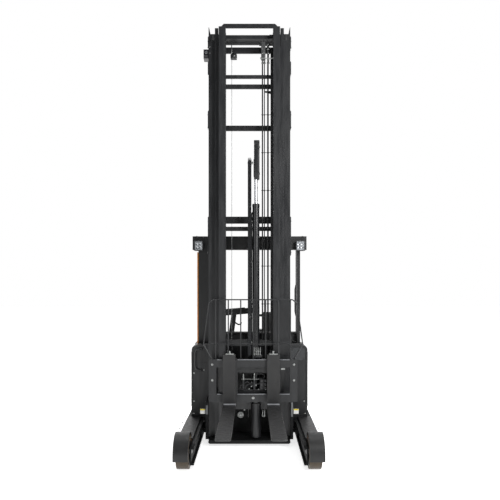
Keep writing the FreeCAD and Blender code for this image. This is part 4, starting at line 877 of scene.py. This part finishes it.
def makeLiftFittings():
    bright, block, coil, hoses = newShapes(4)
    front = -12
    addBlock(block, (36, front - 16, 868), (124, front + 8, 896), 3)
    for x in (48, 66, 85, 106):
        addFitting(bright, (x, front - 6, 892), upward, 82, 5)
    addTube(bright, [(40, front - 8, 934), (114, front - 8, 934)], 3.5, 8)
    addBlock(block, (-200, front - 4, 545), (200, front + 6, 562), 2)
    for x in (-58, 48):
        addLathe(bright, [(0, 0), (0, 6), (4, 7.5), (62, 7.5), (66, 5), (66, 0)], (x, front - 12, 652),
            upward, 18)
        addBlock(block, (x - 9, front - 22, 556), (x + 9, front + 2, 655), 3)
    addTube(bright, [(-75, front - 14, 663), (100, front - 14, 663)], 4, 10)
    addBlock(block, (102, front - 20, 556), (150, front + 4, 672), 4)
    for k in range(3):
        z = 580 + k * 34
        addLathe(coil, [(0, 0), (0, 13), (8, 13), (9, 10), (9, 6), (12, 5), (12, 0)], (124, front - 18, z),
            toFront, 20)
        addBlock(coil, (146, front - 26, z - 12), (166, front - 4, z + 12), 3)
    addLathe(bright, [(0, 0), (0, 11), (6, 11), (8, 6), (10, 0)], (160, front - 4, 564), toFront, 6)
    for x, z in ((-3.4, 565), (88, 563), (-127, 643), (60, 600), (20, 590)):
        addLathe(bright, [(0, 0), (0, 7), (5, 7), (6, 4), (8, 0)], (x, front - 3, z), toFront, 6)
    for points in (((-40, 565), (-30, 600), (20, 625), (75, 615), (102, 620)),
            ((-100, 562), (-85, 600), (-20, 640), (30, 600), (50, 575)),
            ((140, 665), (150, 700), (120, 715), (70, 712))):
        addTube(hoses, [(x, front - 10, z) for x, z in points], 6, 10)
    closeAll("lift_carriage", ("liftValveFittings", bright, pinSteel),
        ("liftValveBlock", block, carriagePaint), ("liftValvePipes", hoses, cylinderPaint),
        ("liftValveCoils", coil, hubIron, "pin_steel"))


makeLiftFittings()


# Pipe work and sockets on the reach carriage's tie, seen low between the forks.
def makeReachFittings():
    bright, dark = newShapes(2)
    face = 294
    elbow = [(-52, face - 9, 290), (-52, face - 9, 332), (-46, face - 9, 350), (-30, face - 9, 358),
        (-10, face - 9, 358)]
    addTube(bright, elbow, 6, 12)
    addFitting(bright, (-52, face - 9, 288), upward, 30, 7)
    addLathe(bright, [(-2, 0), (-2, 36), (4, 36), (7, 30), (7, 20), (12, 18), (14, 9), (20, 8), (20, 0)],
        (-91, face, 239), toFront, 28)
    addTube(bright, [(-120, face - 6, 262), (-60, face - 6, 218)], 4, 8)
    for x in (103, 135, 155):
        addFitting(bright, (x, face - 8, 224), upward, 74, 5)
    addLathe(bright, [(-1, 0), (-1, 12), (5, 12), (8, 7), (8, 0)], (147, face, 222), toFront, 6)
    for x in (-10, 103):
        addTube(bright, [(x, face - 4, 216), (x, face - 4, 300)], 2.6, 8)
    addBlock(dark, (90, face - 10, 288), (168, face + 2, 304), 3)
    addBlock(dark, (-190, face - 6, 395), (190, face + 2, 412), 3)
    closeAll("reach_carriage", ("reachPipeFittings", bright, pinSteel), ("reachPipeClamps", dark, hoseRubber))


makeReachFittings()
print("front done")


# Operator's place.
cab = {"matRibs": 26, "knob": 13}


def makeControls():
    low, high = box("dashboard")
    pale, dark, bright, glow = newShapes(4)
    face = high.y
    addBlock(dark, (20, face - 4, high.z - 150), (200, face + 9, high.z - 30), 7, 3)
    addBlock(glow, (35, face + 8.5, high.z - 134), (185, face + 10.5, high.z - 46), 0.8, 1)
    addBlock(dark, (240, face - 4, high.z - 130), (420, face + 6, high.z - 44), 5, 3)
    for i in range(5):
        for j in range(2):
            x, z = 262 + i * 34, high.z - 72 - j * 34
            addBlock(pale, (x - 11, face + 4, z - 11), (x + 11, face + 9.5, z + 11), 2.5)
    addBlock(dark, (low.x + 20, low.y - 3, high.z - 26), (high.x - 20, low.y + 8, high.z - 8), 3)
    addLathe(bright, [(0, 0), (0, 18), (4, 18), (5, 14), (14, 13), (15, 0)], (-60, face, high.z - 70), toRear,
        24)
    for x in (low.x + 40, high.x - 40):
        addLathe(bright, [(0, 0), (0, 7), (2, 7), (3, 4), (3, 0)], (x, face, high.z - 50), toRear, 16)
    closeAll("chassis", ("dashPods", dark, gripPlastic), ("dashButtons", pale, paleCover, "cover_plastic"),
        ("dashScreen", glow, sensorPlastic), ("dashFittings", bright, pinSteel))

    low, high = box("armrest")
    pad, stick = newShapes(2)
    slope = Matrix.Rotation(-math.atan(31 / 380), 4, "Y")
    addBlock(pad, (low.x + 6, low.y + 6, high.z - 33), (-50, high.y - 6, high.z - 13), 8, 4, turn=slope)
    addBlock(stick, (-75, low.y + 8, high.z - 40), (high.x - 6, high.y - 8, high.z - 22), 5, 2)
    for k in range(4):
        y = low.y + 20 + k * 19
        addTube(stick, [(45, y, high.z - 24), (46, y, high.z + 4), (52, y, high.z + 22)], 4, 8)
        addBlock(stick, (44, y - 7, high.z + 18), (62, y + 7, high.z + 36), 5, 2)
    addLathe(stick, [(0, 0), (0, 21), (8, 21), (12, 15), (20, 9), (42, 8), (50, 15), (62, 18), (74, 14),
        (80, 0)], (12, (low.y + high.y) / 2, high.z - 24), (0.12, 0, 1), 24)
    closeAll("chassis", ("armPad", pad, seatCloth, "grip_plastic"), ("armLevers", stick, gripPlastic))


def makeFootwell():
    rib = bmesh.new()
    addBlock(rib, (-190, -2.5, 0), (190, 2.5, 4), 1.2, 1)
    placeRow("floorMatRibs", rib, cab["matRibs"], (0, 12, 0), (345, 730, 403), "chassis", gripPlastic)
    shape = bmesh.new()
    addBlock(shape, (130, 700, 399), (560, 1060, 405), 2, 1)
    for x in (200, 340, 470):
        addBlock(shape, (x - 38, 705, 440), (x + 38, 725, 550), 6, 2,
            turn=Matrix.Rotation(math.radians(-24), 4, "X"))
        addTube(shape, [(x, 730, 470), (x, 700, 500), (x, 670, 560)], 8, 10)
    closePiece("pedalsAndMat", shape, gripPlastic)


def makeWheelKnob():
    low, high = box("steering_wheel")
    middle = (low + high) / 2
    shape = bmesh.new()
    addLathe(shape, [(0, 0), (0, 8), (10, 7), (14, cab["knob"]), (24, 17), (36, 15), (42, 8), (43, 0)],
        (middle.x - 84.5, middle.y, middle.z + 5), upward, 24)
    addLathe(shape, [(0, 0), (0, 28), (4, 29), (9, 24), (11, 12), (11, 0)], (middle.x, middle.y, high.z - 4),
        upward, 28)
    closePiece("steeringKnob", shape, gripPlastic, "steering_wheel")
    shape = bmesh.new()
    low, high = box("steering_column")
    for k in range(6):
        addRing(shape, [(0, 24), (6, 33), (12, 24)], (180, middle.y, 1040 + k * 12), upward, 28)
    closePiece("columnBoot", shape, gripPlastic)
    shape = bmesh.new()
    front = low.y - 88
    addPlate(shape, [(front, 1245), (front + 14, 1262), (front + 44, 1240), (front + 50, 1060),
        (low.y + 6, 1035), (low.y + 6, 945), (front + 10, 945), (front - 4, 1060)], 150, 106, "x", 5)
    closePiece("steeringShroud", shape, coverPlastic)
    hook = bmesh.new()
    armLow = box("armrest")[0]
    addTube(hook, [(-180, armLow.y + 20, 1180), (-150, armLow.y + 8, 1152), (-122, armLow.y + 6, 1136),
        (-100, armLow.y + 6, 1142), (-90, armLow.y + 6, 1162)], 8, 12)
    closePiece("coatHook", hook, gripPlastic)


makeControls()
makeFootwell()
makeWheelKnob()


# Overhead guard and side panel trim.
def makeGuardTrim():
    low, high = box("overhead_guard")
    spots = []
    for x in (low.x + 40, high.x - 40):
        for y in (low.y + 40, (low.y + high.y) / 2, high.y - 40):
            spots.append(((x, y, high.z), upward))
    for side, x in ((-1, low.x), (1, high.x)):
        spots += [((x, high.y - 30, z), (side, 0, 0)) for z in (1000, 1060)]
    placeBolts("guardBolts", spots, "chassis", 9, 7)
    panelLow = box("side_panel")[0]
    trim = bmesh.new()
    ring = roundedOutline((628, 1180), (1088, 1800), 8, 4)
    points = [(panelLow.x + 7, y, z) for y, z in ring]
    addTube(trim, points, 6, 8, closed=True)
    closePiece("windowSeal", trim, gripPlastic)
    handle = bmesh.new()
    x, y = high.x - 58, high.y - 110
    addTube(handle, [(x + 30, y, 1200), (x - 4, y, 1215), (x - 12, y, 1260), (x - 12, y, 1520),
        (x - 4, y, 1565), (x + 30, y, 1580)], 12, 14)
    closePiece("grabHandle", handle, gripPlastic)


makeGuardTrim()
print("cab done")


# Body front: wear pads, blank plates, service cover, handle, edge strip.
bodyLook = {"coverSoft": 14, "padThick": 3, "handleRadius": 8, "strip": 21}


def makeFrontBody():
    low, high = box("battery_wall")
    face = low.y
    cover, pads, white, band, rubber = newShapes(5)
    addPanel(cover, (426, 795), (572, 925), bodyLook["coverSoft"], face - 5, 6, "y", 2)
    closePiece("serviceCover", cover, serviceGrey, "chassis", "cover_plastic")
    for side, foot in ((-1, 296), (1, 273)):
        x0, x1 = sorted((side * 411, side * 431))
        addBlock(pads, (x0, 78 - bodyLook["padThick"], foot), (x1, 80, 414 if side > 0 else 386), 1.2)
        x0, x1 = sorted((side * 438, side * 489))
        addBlock(white, (x0, 94, 296), (x1, 98, 346), 1, 1)
        addBlock(band, (x0 + 1.5, 92.5, 332), (x1 - 1.5, 95.5, 345), 0.5, 1)
        addBlock(rubber, (min(side * 430, side * 489), 97.5, 292), (max(side * 430, side * 489), 106, 350), 2,
            1)
    closeAll("reach_carriage", ("reachWearPads", pads, paleCover, "cover_plastic"),
        ("blankPlates", white, plateWhite, "cover_plastic"), ("blankPlateBands", band, plateYellow,
        "side_paint"), ("plateBackings", rubber, carriagePaint))
    strip = bmesh.new()
    for side in (-1, 1):
        x0, x1 = sorted((side * (603 - bodyLook["strip"]), side * 603))
        addBlock(strip, (x0, face - 4, 320), (x1, face + 20, 885), 4, 2)
    closePiece("cornerBumpers", strip, hoseRubber)
    handle = bmesh.new()
    addTube(handle, [(-488, face - 4, 912), (-490, face - 22, 914), (-520, face - 26, 914),
        (-552, face - 26, 902), (-562, face - 26, 872), (-562, face - 26, 740), (-550, face - 26, 706),
        (-522, face - 24, 694), (-484, face - 14, 694), (-480, face + 2, 694)], bodyLook["handleRadius"], 12)
    closePiece("bodyGrabBar", handle, motorIron, "chassis", "pin_steel")
    spots = [((x, face, z), toFront) for x, z in ((-574.5, 662.5), (-574.5, 372), (566, 372), (-474.5, 693.6),
        (440, 809), (558, 809), (440, 911), (558, 911))]
    placeBolts("bodyFrontBolts", spots, "chassis", 6.5, 5)
    seam = bmesh.new()
    addBlock(seam, (low.x + 30, face - 1.2, 766.5), (high.x - 30, face + 1, 770.5), 0.5, 1)
    closePiece("bulkheadSeal", seam, hoseRubber)
    low, high = box("dashboard")
    # bright strips along the console's top edge: painted highlights
    trim = bmesh.new()
    for x0, x1 in ((-245, -17), (113, 200), (300, 500)):
        addBlock(trim, (x0, low.y - 3, 1040), (x1, low.y + 4, 1052), 2, 2)
    closePiece("dashTrim", trim, highlightSteelPaint, "chassis", "cover_plastic")


makeFrontBody()


# Battery lid: handles and vents.
def makeLid():
    top = box("chassis_frame")[1].z
    bars, vents = newShapes(2)
    for x in (-440, 440):
        y = 550
        addTube(bars, [(x - 60, y, top - 2), (x - 58, y, top + 24), (x - 42, y, top + 32),
            (x + 42, y, top + 32), (x + 58, y, top + 24), (x + 60, y, top - 2)], 7, 12)
    closePiece("lidHandles", bars, gripPlastic)
    for x in (-300, 300):
        for k in range(6):
            addBlock(vents, (x - 50, 400 + k * 17, top - 1), (x + 50, 408 + k * 17, top + 3), 1.5, 1)
    closePiece("lidVents", vents, chassisPaint)


makeLid()


# Rear body: cover panels with seams, louvres, latches, tail lamps, blank plate and tow pin.
rearLook = {"panelThick": 7, "louvres": 11}


def makeRearBody():
    face = box("rear_body")[1].y
    panels, lamps, bezel, metal, plate = newShapes(5)
    for x0, x1, z0, z1 in ((-555, -205, 420, 955), (-195, 195, 420, 955), (205, 555, 420, 955),
            (-555, 555, 235, 410)):
        addPanel(panels, (x0, z0), (x1, z1), 16, face - 4, rearLook["panelThick"], "y", 2.5)
    closePiece("rearCovers", panels, rearCoverPaint, "chassis", "chassis_paint")
    slat = bmesh.new()
    addBlock(slat, (-125, -1, -5), (125, 7, 5), 2.5, 2)
    placeRow("rearLouvres", slat, rearLook["louvres"], (0, 0, 21), (0, face + 3, 600), "chassis", gripPlastic)
    for side in (-1, 1):
        x = side * 500
        addPanel(bezel, (x - 30, 775), (x + 30, 925), 12, face + 2, 7, "y", 2)
        addPanel(lamps, (x - 22, 784), (x + 22, 916), 9, face + 8, 7, "y", 3)
        for z in (500, 880):
            addLathe(metal, [(0, 0), (0, 14), (3, 14), (4, 10), (4, 0)], (side * 240, face + 3, z), toRear)
            addBlock(metal, (side * 240 - 2, face + 6, z - 9), (side * 240 + 2, face + 9.5, z + 9), 0.8, 1)
    addPanel(plate, (-60, 475), (60, 535), 6, face + 2, 3, "y", 0.8)
    addBlock(metal, (-55, face - 2, 285), (55, face + 22, 305), 4)
    addBlock(metal, (-55, face - 2, 345), (55, face + 22, 365), 4)
    addLathe(metal, [(0, 0), (0, 9), (84, 9), (85, 14), (96, 14), (98, 9), (98, 0)], (0, face + 12, 282),
        upward)
    closeAll("chassis", ("tailLampBezels", bezel, gripPlastic), ("tailLampLenses", lamps, redLens,
        "lamp_shell"), ("rearLatches", metal, pinSteel), ("rearBlankPlate", plate, plateWhite,
        "cover_plastic"))
    sidePanels, sideVents = newShapes(2)
    spots = [((x, face + 3, z), toRear) for x in (-535, -220, 220, 535) for z in (255, 390)]
    for side in (-1, 1):
        start = side * 600 - (3 if side > 0 else 4)
        foot, top = (300, 930) if side < 0 else (140, 375)      # the other side stays open above the step
        for y0, y1 in ((680, 930), (940, 1200)):
            addPanel(sidePanels, (y0, foot), (y1, top), 14, start, 7, "x", 2.5)
            spots += [((side * 604, y, z), (side, 0, 0)) for y in (y0 + 20, y1 - 20) for z in (foot + 20,
                top - 20)]
    for k in range(8):
        z = 360 + k * 20
        addBlock(sideVents, (-608, 990, z), (-602, 1150, z + 9), 2, 1)
    closeAll("chassis", ("sideCovers", sidePanels, rearCoverPaint, "chassis_paint"),
        ("sideVents", sideVents, gripPlastic))
    placeBolts("rearCoverBolts", spots, "chassis", 6, 4)


makeRearBody()
print("body done")


# Mast fittings: height sensor and its wire, hose ends, gussets, dark blocks of painted shade for the openings atop
# the middle stage, bracket bolts.
topLook = {"wireRadius": 2.4, "wireX": -183, "wireY": 315.5, "wireTop": 3975, "wireFoot": 405}


def makeHeightSensor():
    body, stem = newShapes(2)
    x = topLook["wireX"]
    addBlock(body, (x - 13, 287.5, 3906), (x + 54, 343, 3952), 9, 3)
    addBlock(body, (x - 6, 309.5, 3945), (x + 22, 335, 4012), 4)
    addBlock(stem, (x - 5, 287.5, 3950), (x + 4, 292.5, 4050), 1.5)
    addBlock(stem, (x - 5, 287.5, 4021), (x + 4, 316, 4027), 1.5)
    addBlock(stem, (x + 4, 286.5, 3906), (x + 50, 289.5, 3913), 1, 1)
    addLathe(stem, [(0, 0), (0, 12), (5, 12), (6, 8), (6, 0)], (x + 20, 288, 3930), toFront)
    closeAll("reach_carriage", ("heightSensorBody", body, coverPlastic),
        ("heightSensorHanger", stem, pinSteel))
    curve = bpy.data.curves.new("heightWire", "CURVE")
    curve.dimensions = "3D"
    curve.bevel_depth = topLook["wireRadius"] * mm
    curve.bevel_resolution = 3
    curve.use_fill_caps = True
    line = curve.splines.new("NURBS")
    line.points.add(11)
    start = [topLook[key] * mm for key in ("wireX", "wireY", "wireTop")]
    length = (topLook["wireTop"] - topLook["wireFoot"]) * mm
    for k, point in enumerate(line.points):
        point.co = (start[0], start[1], start[2] - length * k / 11, 1.0)
    line.order_u = 3
    line.use_endpoint_u = True
    curve.materials.append(wireSteel)
    wire = bpy.data.objects.new("heightWire", curve)
    bpy.context.scene.collection.objects.link(wire)
    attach(wire, "reach_carriage")


def makeHoseEnds():
    bright, dark = newShapes(2)
    front, rear = 89, 169
    for x, radius in ((131, 7), (151, 5), (186, 8.5)):
        for z, high in ((3948, 14), (3905, 20), (3862, 12)):
            addRing(bright, [(0, radius + 0.6), (high * 0.2, radius + 5), (high * 0.8, radius + 5),
                (high, radius + 0.6), (high, radius - 1), (0, radius - 1)], (x, front, z), upward,
                6 if high > 13 else 20)
        addLathe(bright, [(0, 0), (0, radius + 5), (14, radius + 5), (16, radius + 1), (34, radius + 1),
            (36, radius + 3.5), (46, radius + 3.5), (46, 0)], (x, front, 3768), upward, 6)
        for k in range(9):
            addRing(dark, [(0, radius + 0.2), (1, radius + 2), (9, radius + 2), (10, radius + 0.2),
                (10, radius - 1), (0, radius - 1)], (x, rear, 620 + 380 * k), upward)
    sleeve = bmesh.new()
    addBlock(sleeve, (116.5, front - 9, 3800), (159.5, front + 9, 3982), 6, 3)
    closePiece("hoseSleeve", sleeve, motorIron, "inner_stage", "hose_rubber")
    addTube(bright, [(112, 77, 3818), (262, 77, 3818)], 4.5, 12)
    addLathe(bright, [(-6, 0), (-6, 9), (6, 10), (9, 6), (9, 0)], (112, 77, 3818), toRight)
    for k in range(9):
        addBlock(dark, (118, 157.5, 622.5 + 380 * k), (232, 160.5, 627.5 + 380 * k), 0.8, 1)
    closeAll("inner_stage", ("hoseEndFittings", bright, pinSteel), ("hoseClamps", dark, hoseRubber))


def cornerGusset(shape, x0, x1, top, foot, start, thick):
    outline = [(x0, top), (x1, top), (x1, foot)]
    for k in range(9):
        angle = math.radians(90 * k / 8)
        outline.append((x1 - 24 - (x1 - 24 - x0) * (1 - math.cos(angle)),
            foot + (top - 14 - foot) * math.sin(angle)))
    addPlate(shape, outline, start, thick, "y")


def makeGussets():
    inner, middle = newShapes(2)
    cornerGusset(inner, 200, 262, 4066, 3965, 108, 15)
    cornerGusset(middle, 150, 284, 3562, 3475, 269, 12)
    closePiece("innerTopGusset", inner, carriagePaint, "inner_stage")
    closePiece("middleTieGusset", middle, carriagePaint, "middle_stage")
    # dark blocks on the middle stage's front flange near the top: painted shade for the dark openings there
    stops = bmesh.new()
    for side in (-1, 1):
        x0, x1 = sorted((side * 348, side * 370))
        addBlock(stops, (x0, 65.5, 3992), (x1, 70, 4046), 1.5)
    closePiece("middleStageStops", stops, hoseRubber, "middle_stage")


def makeMastBolts():
    low, high = box("mast_outer")
    spots = []
    for side in (-1, 1):
        spots += [((side * 420, y, z), (side, 0, 0)) for z in (3985, 4050, 3175, 3305, 1905, 2065,
            2225) for y in (225, 280)]
    spots += [((-396.5, low.y, z), toFront, 0.75) for z in (3889, 3951)]
    spots += [((x, high.y, z), toRear) for z in (3989, 3188, 2242) for x in (-370, -340, 340, 370)]
    placeBolts("mastBracketBolts", spots, "reach_carriage", 8, 6)
    window, rim = newShapes(2)
    low, high = box("mast_sensor")
    addLathe(rim, [(0, 0), (0, 17), (2.5, 17), (3, 14), (3, 0)], ((low.x + high.x) / 2, low.y, high.z - 30),
        toFront, 24)
    for z in (low.z + 12, high.z - 8):
        addLathe(rim, [(0, 0), (0, 3.5), (2.5, 3), (3, 0)], (high.x - 12, low.y, z), toFront, 10)
    addBlock(window, (low.x + 6, low.y - 1.5, low.z + 8), (high.x - 8, low.y + 1, low.z + 36), 1, 1)
    closeAll("reach_carriage", ("mastSensorRim", rim, castAlloy, "sensor_plastic"),
        ("mastSensorWindow", window, lampShell, "sensor_plastic"))


makeHeightSensor()
makeHoseEnds()
makeGussets()
makeMastBolts()


# Support legs and load wheels: guard bolts, hub caps and bolts.
def makeLegTrim():
    high = box("load_guards")[1]
    spots = []
    for side in (-1, 1):
        x = side * high.x
        spots += [((x, y, z), (side, 0, 0)) for y, z in ((-300, 260), (-100, 260), (120, 260), (270, 260),
            (120, 100), (270, 100))]
        spots.append(((side * 547.6, 58, high.z), upward))
    placeBolts("guardPlateBolts", spots, "chassis", 8, 6)
    for name, side in (("left", 1), ("right", -1)):
        hubLow, hubHigh = box("load_hub_" + name)
        middle = (hubLow + hubHigh) / 2
        outside = hubHigh.x if side > 0 else hubLow.x
        cap = bmesh.new()
        addRing(cap, [(0, 37), (3, 37), (5, 34), (5, 31.5), (0, 31.5)], (outside, middle.y, middle.z),
            (side, 0, 0), 32)
        closePiece("hubSealRing_" + name, cap, pinSteel, "load_wheel_" + name)
        ring = [((outside, middle.y + 58 * math.cos(a), middle.z + 58 * math.sin(a)),
            (side, 0, 0)) for a in (2 * math.pi * k / 6 for k in range(6))]
        placeBolts("hubBolts_" + name, ring, "load_wheel_" + name, 7, 4)


makeLegTrim()
print("mast and legs done")


studio = {"halfFloor": 30.0, "keyPower": 360, "fillPower": 70, "topPower": 110, "rimPower": 120,
    "ambient": 0.30, "frontGlow": 0.06}


def makeFloor():
    mesh = bpy.data.meshes.new("floor")
    half = studio["halfFloor"]
    mesh.from_pydata([(-half, -half, 0), (half, -half, 0), (half, half, 0), (-half, half, 0)], [],
        [(0, 1, 2, 3)])
    floor = bpy.data.objects.new("floor", mesh)
    bpy.context.scene.collection.objects.link(floor)
    material, tree, surface, place = startMaterial("whitePaperSweep", 0.95)
    surface.inputs["Specular IOR Level"].default_value = 0.1
    tone = spread(tree, noise(tree, place, 900, 2), 0.3, 0.7)
    tree.links.new(blendColour(tree, tone, toLinear("#fbfbfa"), toLinear("#ffffff")),
        surface.inputs["Base Color"])
    ray = addNode(tree, "ShaderNodeLightPath")
    glow = calculate(tree, "MAXIMUM", ray.outputs["Is Camera Ray"], ray.outputs["Is Glossy Ray"])
    surface.inputs["Emission Color"].default_value = (1, 1, 1, 1)
    tree.links.new(calculate(tree, "MULTIPLY", glow, 0.72), surface.inputs["Emission Strength"])
    mesh.materials.append(material)


def makeLamp(name, place, target, width, height, power):
    data = bpy.data.lights.new(name, "AREA")
    data.shape, data.size, data.size_y, data.energy = "RECTANGLE", width, height, power
    lamp = bpy.data.objects.new(name, data)
    bpy.context.scene.collection.objects.link(lamp)
    lamp.location = place
    lamp.rotation_euler = (Vector(target) - Vector(place)).to_track_quat("-Z", "Y").to_euler()


makeFloor()
makeLamp("keyBox", (3.6, -5.2, 4.2), (0, -0.3, 1.9), 2.4, 3.6, studio["keyPower"])
makeLamp("fillBox", (-4.2, -4.8, 3.0), (0, -0.3, 1.6), 2.0, 3.6, studio["fillPower"])
makeLamp("topBox", (0, 0.2, 7.4), (0, 0, 1.5), 4.0, 4.0, studio["topPower"])
makeLamp("rimBox", (-3.0, 4.6, 3.4), (0, 0, 1.8), 2.0, 3.0, studio["rimPower"])
makeLamp("rimBoxTwin", (3.4, 4.2, 3.2), (0, 0, 1.8), 2.0, 3.0, studio["rimPower"])

world = bpy.data.worlds.new("studioWorld")
bpy.context.scene.world = world
world.use_nodes = True
air = world.node_tree
air.nodes.clear()
ray = addNode(air, "ShaderNodeLightPath")
aim = addNode(air, "ShaderNodeSeparateXYZ", None, {0: addNode(air,
    "ShaderNodeTexCoord").outputs["Generated"]})
room = spread(air, aim.outputs[1], -0.35, 0.25, studio["frontGlow"], 1.0)  # darker in front of the truck
shiny = calculate(air, "MULTIPLY", ray.outputs["Is Glossy Ray"], room)
seen = calculate(air, "MAXIMUM", ray.outputs["Is Camera Ray"], ray.outputs["Is Transmission Ray"])
direct = calculate(air, "MAXIMUM", seen, shiny)
other = calculate(air, "SUBTRACT", 1.0, calculate(air, "MAXIMUM", seen, ray.outputs["Is Glossy Ray"]))
strength = calculate(air, "ADD", direct, calculate(air, "MULTIPLY", other, studio["ambient"]))
sky = addNode(air, "ShaderNodeBackground", None, {"Color": (1, 1, 1, 1), "Strength": strength})
addNode(air, "ShaderNodeOutputWorld", None, {"Surface": sky.outputs[0]})

view = {"lens": 38.9, "place": (0.0228, -5.267, 1.595), "shiftX": -0.0034, "shiftY": 0.066}
camera = bpy.data.objects.new("camera", bpy.data.cameras.new("camera"))
bpy.context.scene.collection.objects.link(camera)
camera.location = view["place"]
camera.rotation_euler = (math.radians(90), 0, 0)
camera.data.lens = view["lens"]
camera.data.sensor_width = 36
camera.data.shift_x, camera.data.shift_y = view["shiftX"], view["shiftY"]
bpy.context.scene.camera = camera
bpy.context.scene.view_settings.view_transform = "Standard"
